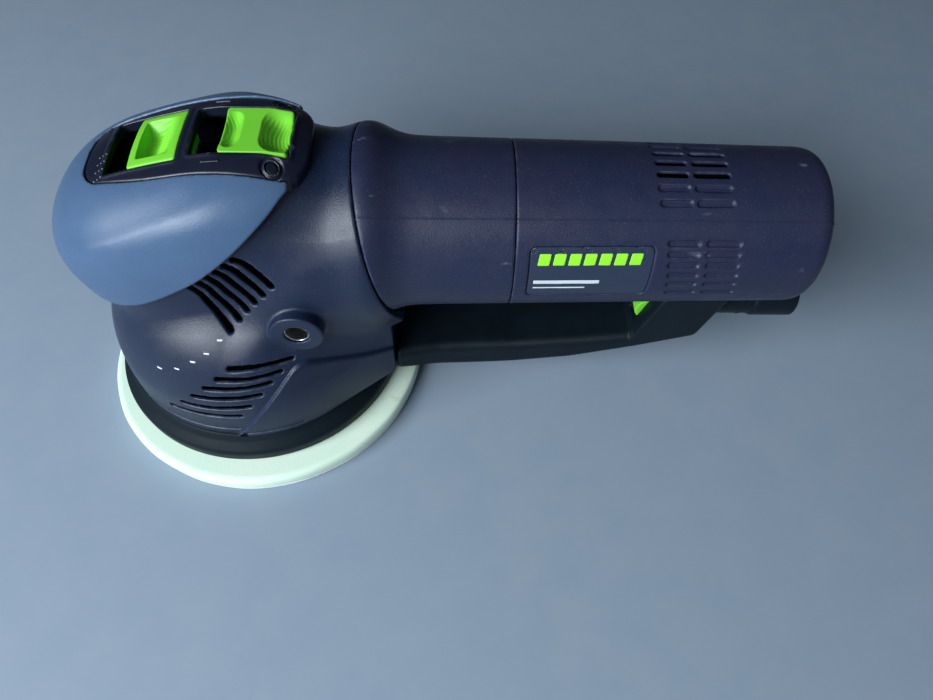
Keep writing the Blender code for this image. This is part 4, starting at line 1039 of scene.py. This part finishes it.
# ---------------------------------------------------------------- print and marks
def print_slab(name, skin, outline, low, high, step, look, *nodes, rise=0.00012, sink=0.0003):
    """A thin slab that follows a skin: outline is negative inside its shape."""
    def field(x, y, z):
        surface_at = skin(x, y, z)
        return np.maximum(np.maximum(surface_at - rise, -surface_at - sink), outline(x, y, z))
    return surface(name, field, low, high, step, look, *nodes)


LABEL_FACE_Y, HEAD_FACE_Y = -0.0120, -0.0200       # marks are made on the side below these


def make_label():
    middle_x, middle_z, half_length, half_height = LABEL
    low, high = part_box("label_plate")

    def film(x, y, z):
        return np.maximum(rounded_box(x - middle_x, z - middle_z, half_length - 0.0003, half_height - 0.0003,
                                      0.0022), y - LABEL_FACE_Y)

    def floor(x, y, z):
        return barrel_skin(x, y, z) + 0.0003

    print_slab("type_plate_film", floor, film, low, high, 0.0004, "film", "label_plate",
               rise=0.0, sink=0.0005)

    def green_bars(x, y, z):
        row_z = 0.1047
        lean = x - 0.15 * (z - row_z)
        bars = [rounded_box(lean - 0.1257 - 0.0057 * number, z - row_z, 0.0022, 0.0023, 0.0005)
                for number in range(7)]
        return np.maximum(np.minimum.reduce(bars), y - LABEL_FACE_Y)

    def white_lines(x, y, z):
        upper = rounded_box(x - 0.1350, z - 0.0945, 0.0126, 0.0009, 0.0003)
        lower = rounded_box(x - 0.1325, z - 0.0912, 0.0100, 0.00035, 0.0002)
        return np.maximum(np.minimum(upper, lower), y - LABEL_FACE_Y)

    print_slab("green_bars", floor, green_bars, (0.121, -0.036, 0.099), (0.164, -0.018, 0.108), 0.00025,
               "green_print")
    print_slab("white_lines", floor, white_lines, (0.121, -0.036, 0.090), (0.148, -0.018, 0.098), 0.00022,
               "white_print")


HEAD_DASHES = ((-0.0252, 0.0605), (-0.0171, 0.0631), (-0.0097, 0.0674), (-0.0037, 0.0708), (0.0019, 0.0750))


def make_head_marks():
    def dashes(x, y, z):
        shapes = [rounded_box(x - at_x, z - at_z, 0.0011, 0.0003, 0.0002) for at_x, at_z in HEAD_DASHES]
        return np.maximum(np.minimum.reduce(shapes), y - HEAD_FACE_Y)

    print_slab("setting_marks", housing_field, dashes, (-0.028, -0.056, 0.058), (0.005, -0.040, 0.078),
               0.00022, "white_print")


def make_panel_marks():
    def dots(x, y, z):
        spots = [(-0.0338 + 0.0013 * row, -0.0045 - 0.0034 * column + 0.0004 * row) for row in range(3)
                 for column in range(4)]
        return np.minimum.reduce([np.hypot(x - at_x, y - at_y) - 0.00030 for at_x, at_y in spots])

    def bars(x, y, z):
        dashes = [rounded_box(x + 0.0357, y - at, 0.0005, 0.0007, 0.0002) for at in (0.0118, 0.0137, 0.0156)]
        long_ones = [rounded_box(x - 0.0095, y + 0.0158, 0.0032, 0.0004, 0.0002),
                     rounded_box(x - 0.0084, y - 0.0166, 0.0028, 0.0004, 0.0002)]
        return np.minimum.reduce(dashes + long_ones)

    low, high = (-0.0375, -0.0170, 0.1180), (-0.0285, -0.0030, 0.1330)
    print_slab("strength_dots", panel_skin, dots, low, high, 0.0002, "grey_print", rise=0.0001)
    low, high = (-0.0370, -0.0175, 0.1200), (0.0140, 0.0180, 0.1400)
    print_slab("mode_bars", panel_skin, bars, low, high, 0.00025, "panel", rise=0.0003)


# ---------------------------------------------------------------- inner pieces
def finish_inner_nodes():
    """The CAD pieces that are shown as they are take the first look of their slot."""
    material_of = {slot: material for material, slot in reversed(LOOKS.values())}
    slot_of = {part["node"]: part["material_slot"] for part in frame["record"]["subparts"]}
    for name, node in frame["nodes"].items():
        node.data.materials.clear()
        node.data.materials.append(material_of[slot_of[name]])


# ---------------------------------------------------------------- stage
EYE = Vector((0.0908, -0.2017, 0.2999))
LOOK_DOWN, LOOK_LEFT, LOOK_ROLL = math.radians(56.0), math.radians(-2.48), math.radians(2.31)


def aim_camera():
    ahead = Vector((-math.sin(LOOK_LEFT) * math.cos(LOOK_DOWN), math.cos(LOOK_LEFT) * math.cos(LOOK_DOWN),
                    -math.sin(LOOK_DOWN)))
    right = Vector((math.cos(LOOK_LEFT), math.sin(LOOK_LEFT), 0.0))
    above = right.cross(ahead)
    side = math.cos(LOOK_ROLL) * right + math.sin(LOOK_ROLL) * above
    up = math.cos(LOOK_ROLL) * above - math.sin(LOOK_ROLL) * right
    lens = bpy.data.cameras.new("photo_view")
    lens.lens = 27.05
    lens.sensor_width = 36.0
    lens.clip_start = 0.01
    camera = bpy.data.objects.new("photo_view", lens)
    camera.matrix_world = Matrix(((side.x, up.x, -ahead.x, EYE.x), (side.y, up.y, -ahead.y, EYE.y),
                                  (side.z, up.z, -ahead.z, EYE.z), (0.0, 0.0, 0.0, 1.0)))
    bpy.context.scene.collection.objects.link(camera)
    bpy.context.scene.camera = camera


def lay_floor():
    mesh = bpy.data.meshes.new("floor")
    reach = 3.0
    mesh.from_pydata([(-reach, -reach, 0.0), (reach, -reach, 0.0), (reach, reach, 0.0), (-reach, reach, 0.0)],
                     [], [(0, 1, 2, 3)])
    floor = bpy.data.objects.new("floor", mesh)
    floor.location.z = -0.0003
    mesh.materials.append(moulded("pale_floor", (0.255, 0.325, 0.415), (0.270, 0.335, 0.420), (0.50, 0.60),
                                  300.0, 0.00002))
    bpy.context.scene.collection.objects.link(floor)


def add_light(name, direction, distance, size, power, colour):
    lamp = bpy.data.lights.new(name, "AREA")
    lamp.shape = "RECTANGLE"
    lamp.size, lamp.size_y = size
    lamp.energy = power
    lamp.color = colour
    light = bpy.data.objects.new(name, lamp)
    target = Vector((0.06, 0.0, 0.06))
    aim = Vector(direction).normalized()
    light.location = target + aim * distance
    light.rotation_euler = aim.to_track_quat("Z", "Y").to_euler()
    bpy.context.scene.collection.objects.link(light)


def light_stage():
    add_light("key", (-0.58, -0.60, 0.54), 1.3, (1.1, 0.5), 30.0, (0.88, 0.95, 1.0))
    add_light("fill", (0.50, -0.70, 0.75), 1.6, (1.0, 1.0), 1.0, (0.90, 0.96, 1.0))
    world = bpy.data.worlds.new("room")
    world.use_nodes = True
    air = world.node_tree.nodes["Background"]
    air.inputs["Color"].default_value = (0.60, 0.72, 0.88, 1.0)
    air.inputs["Strength"].default_value = 0.05
    bpy.context.scene.world = world
    bpy.context.scene.view_settings.view_transform = "Standard"


finish_inner_nodes()
make_head()
make_grip()
make_panel()
make_sliders()
make_window_floor()
make_barrel()
make_duct()
make_hose_port()
make_skirt()
make_dial()
make_pad()
make_power_inlet()
make_inlet_pins()
make_handle_inserts()
make_label()
make_head_marks()
make_panel_marks()
aim_camera()
lay_floor()
light_stage()
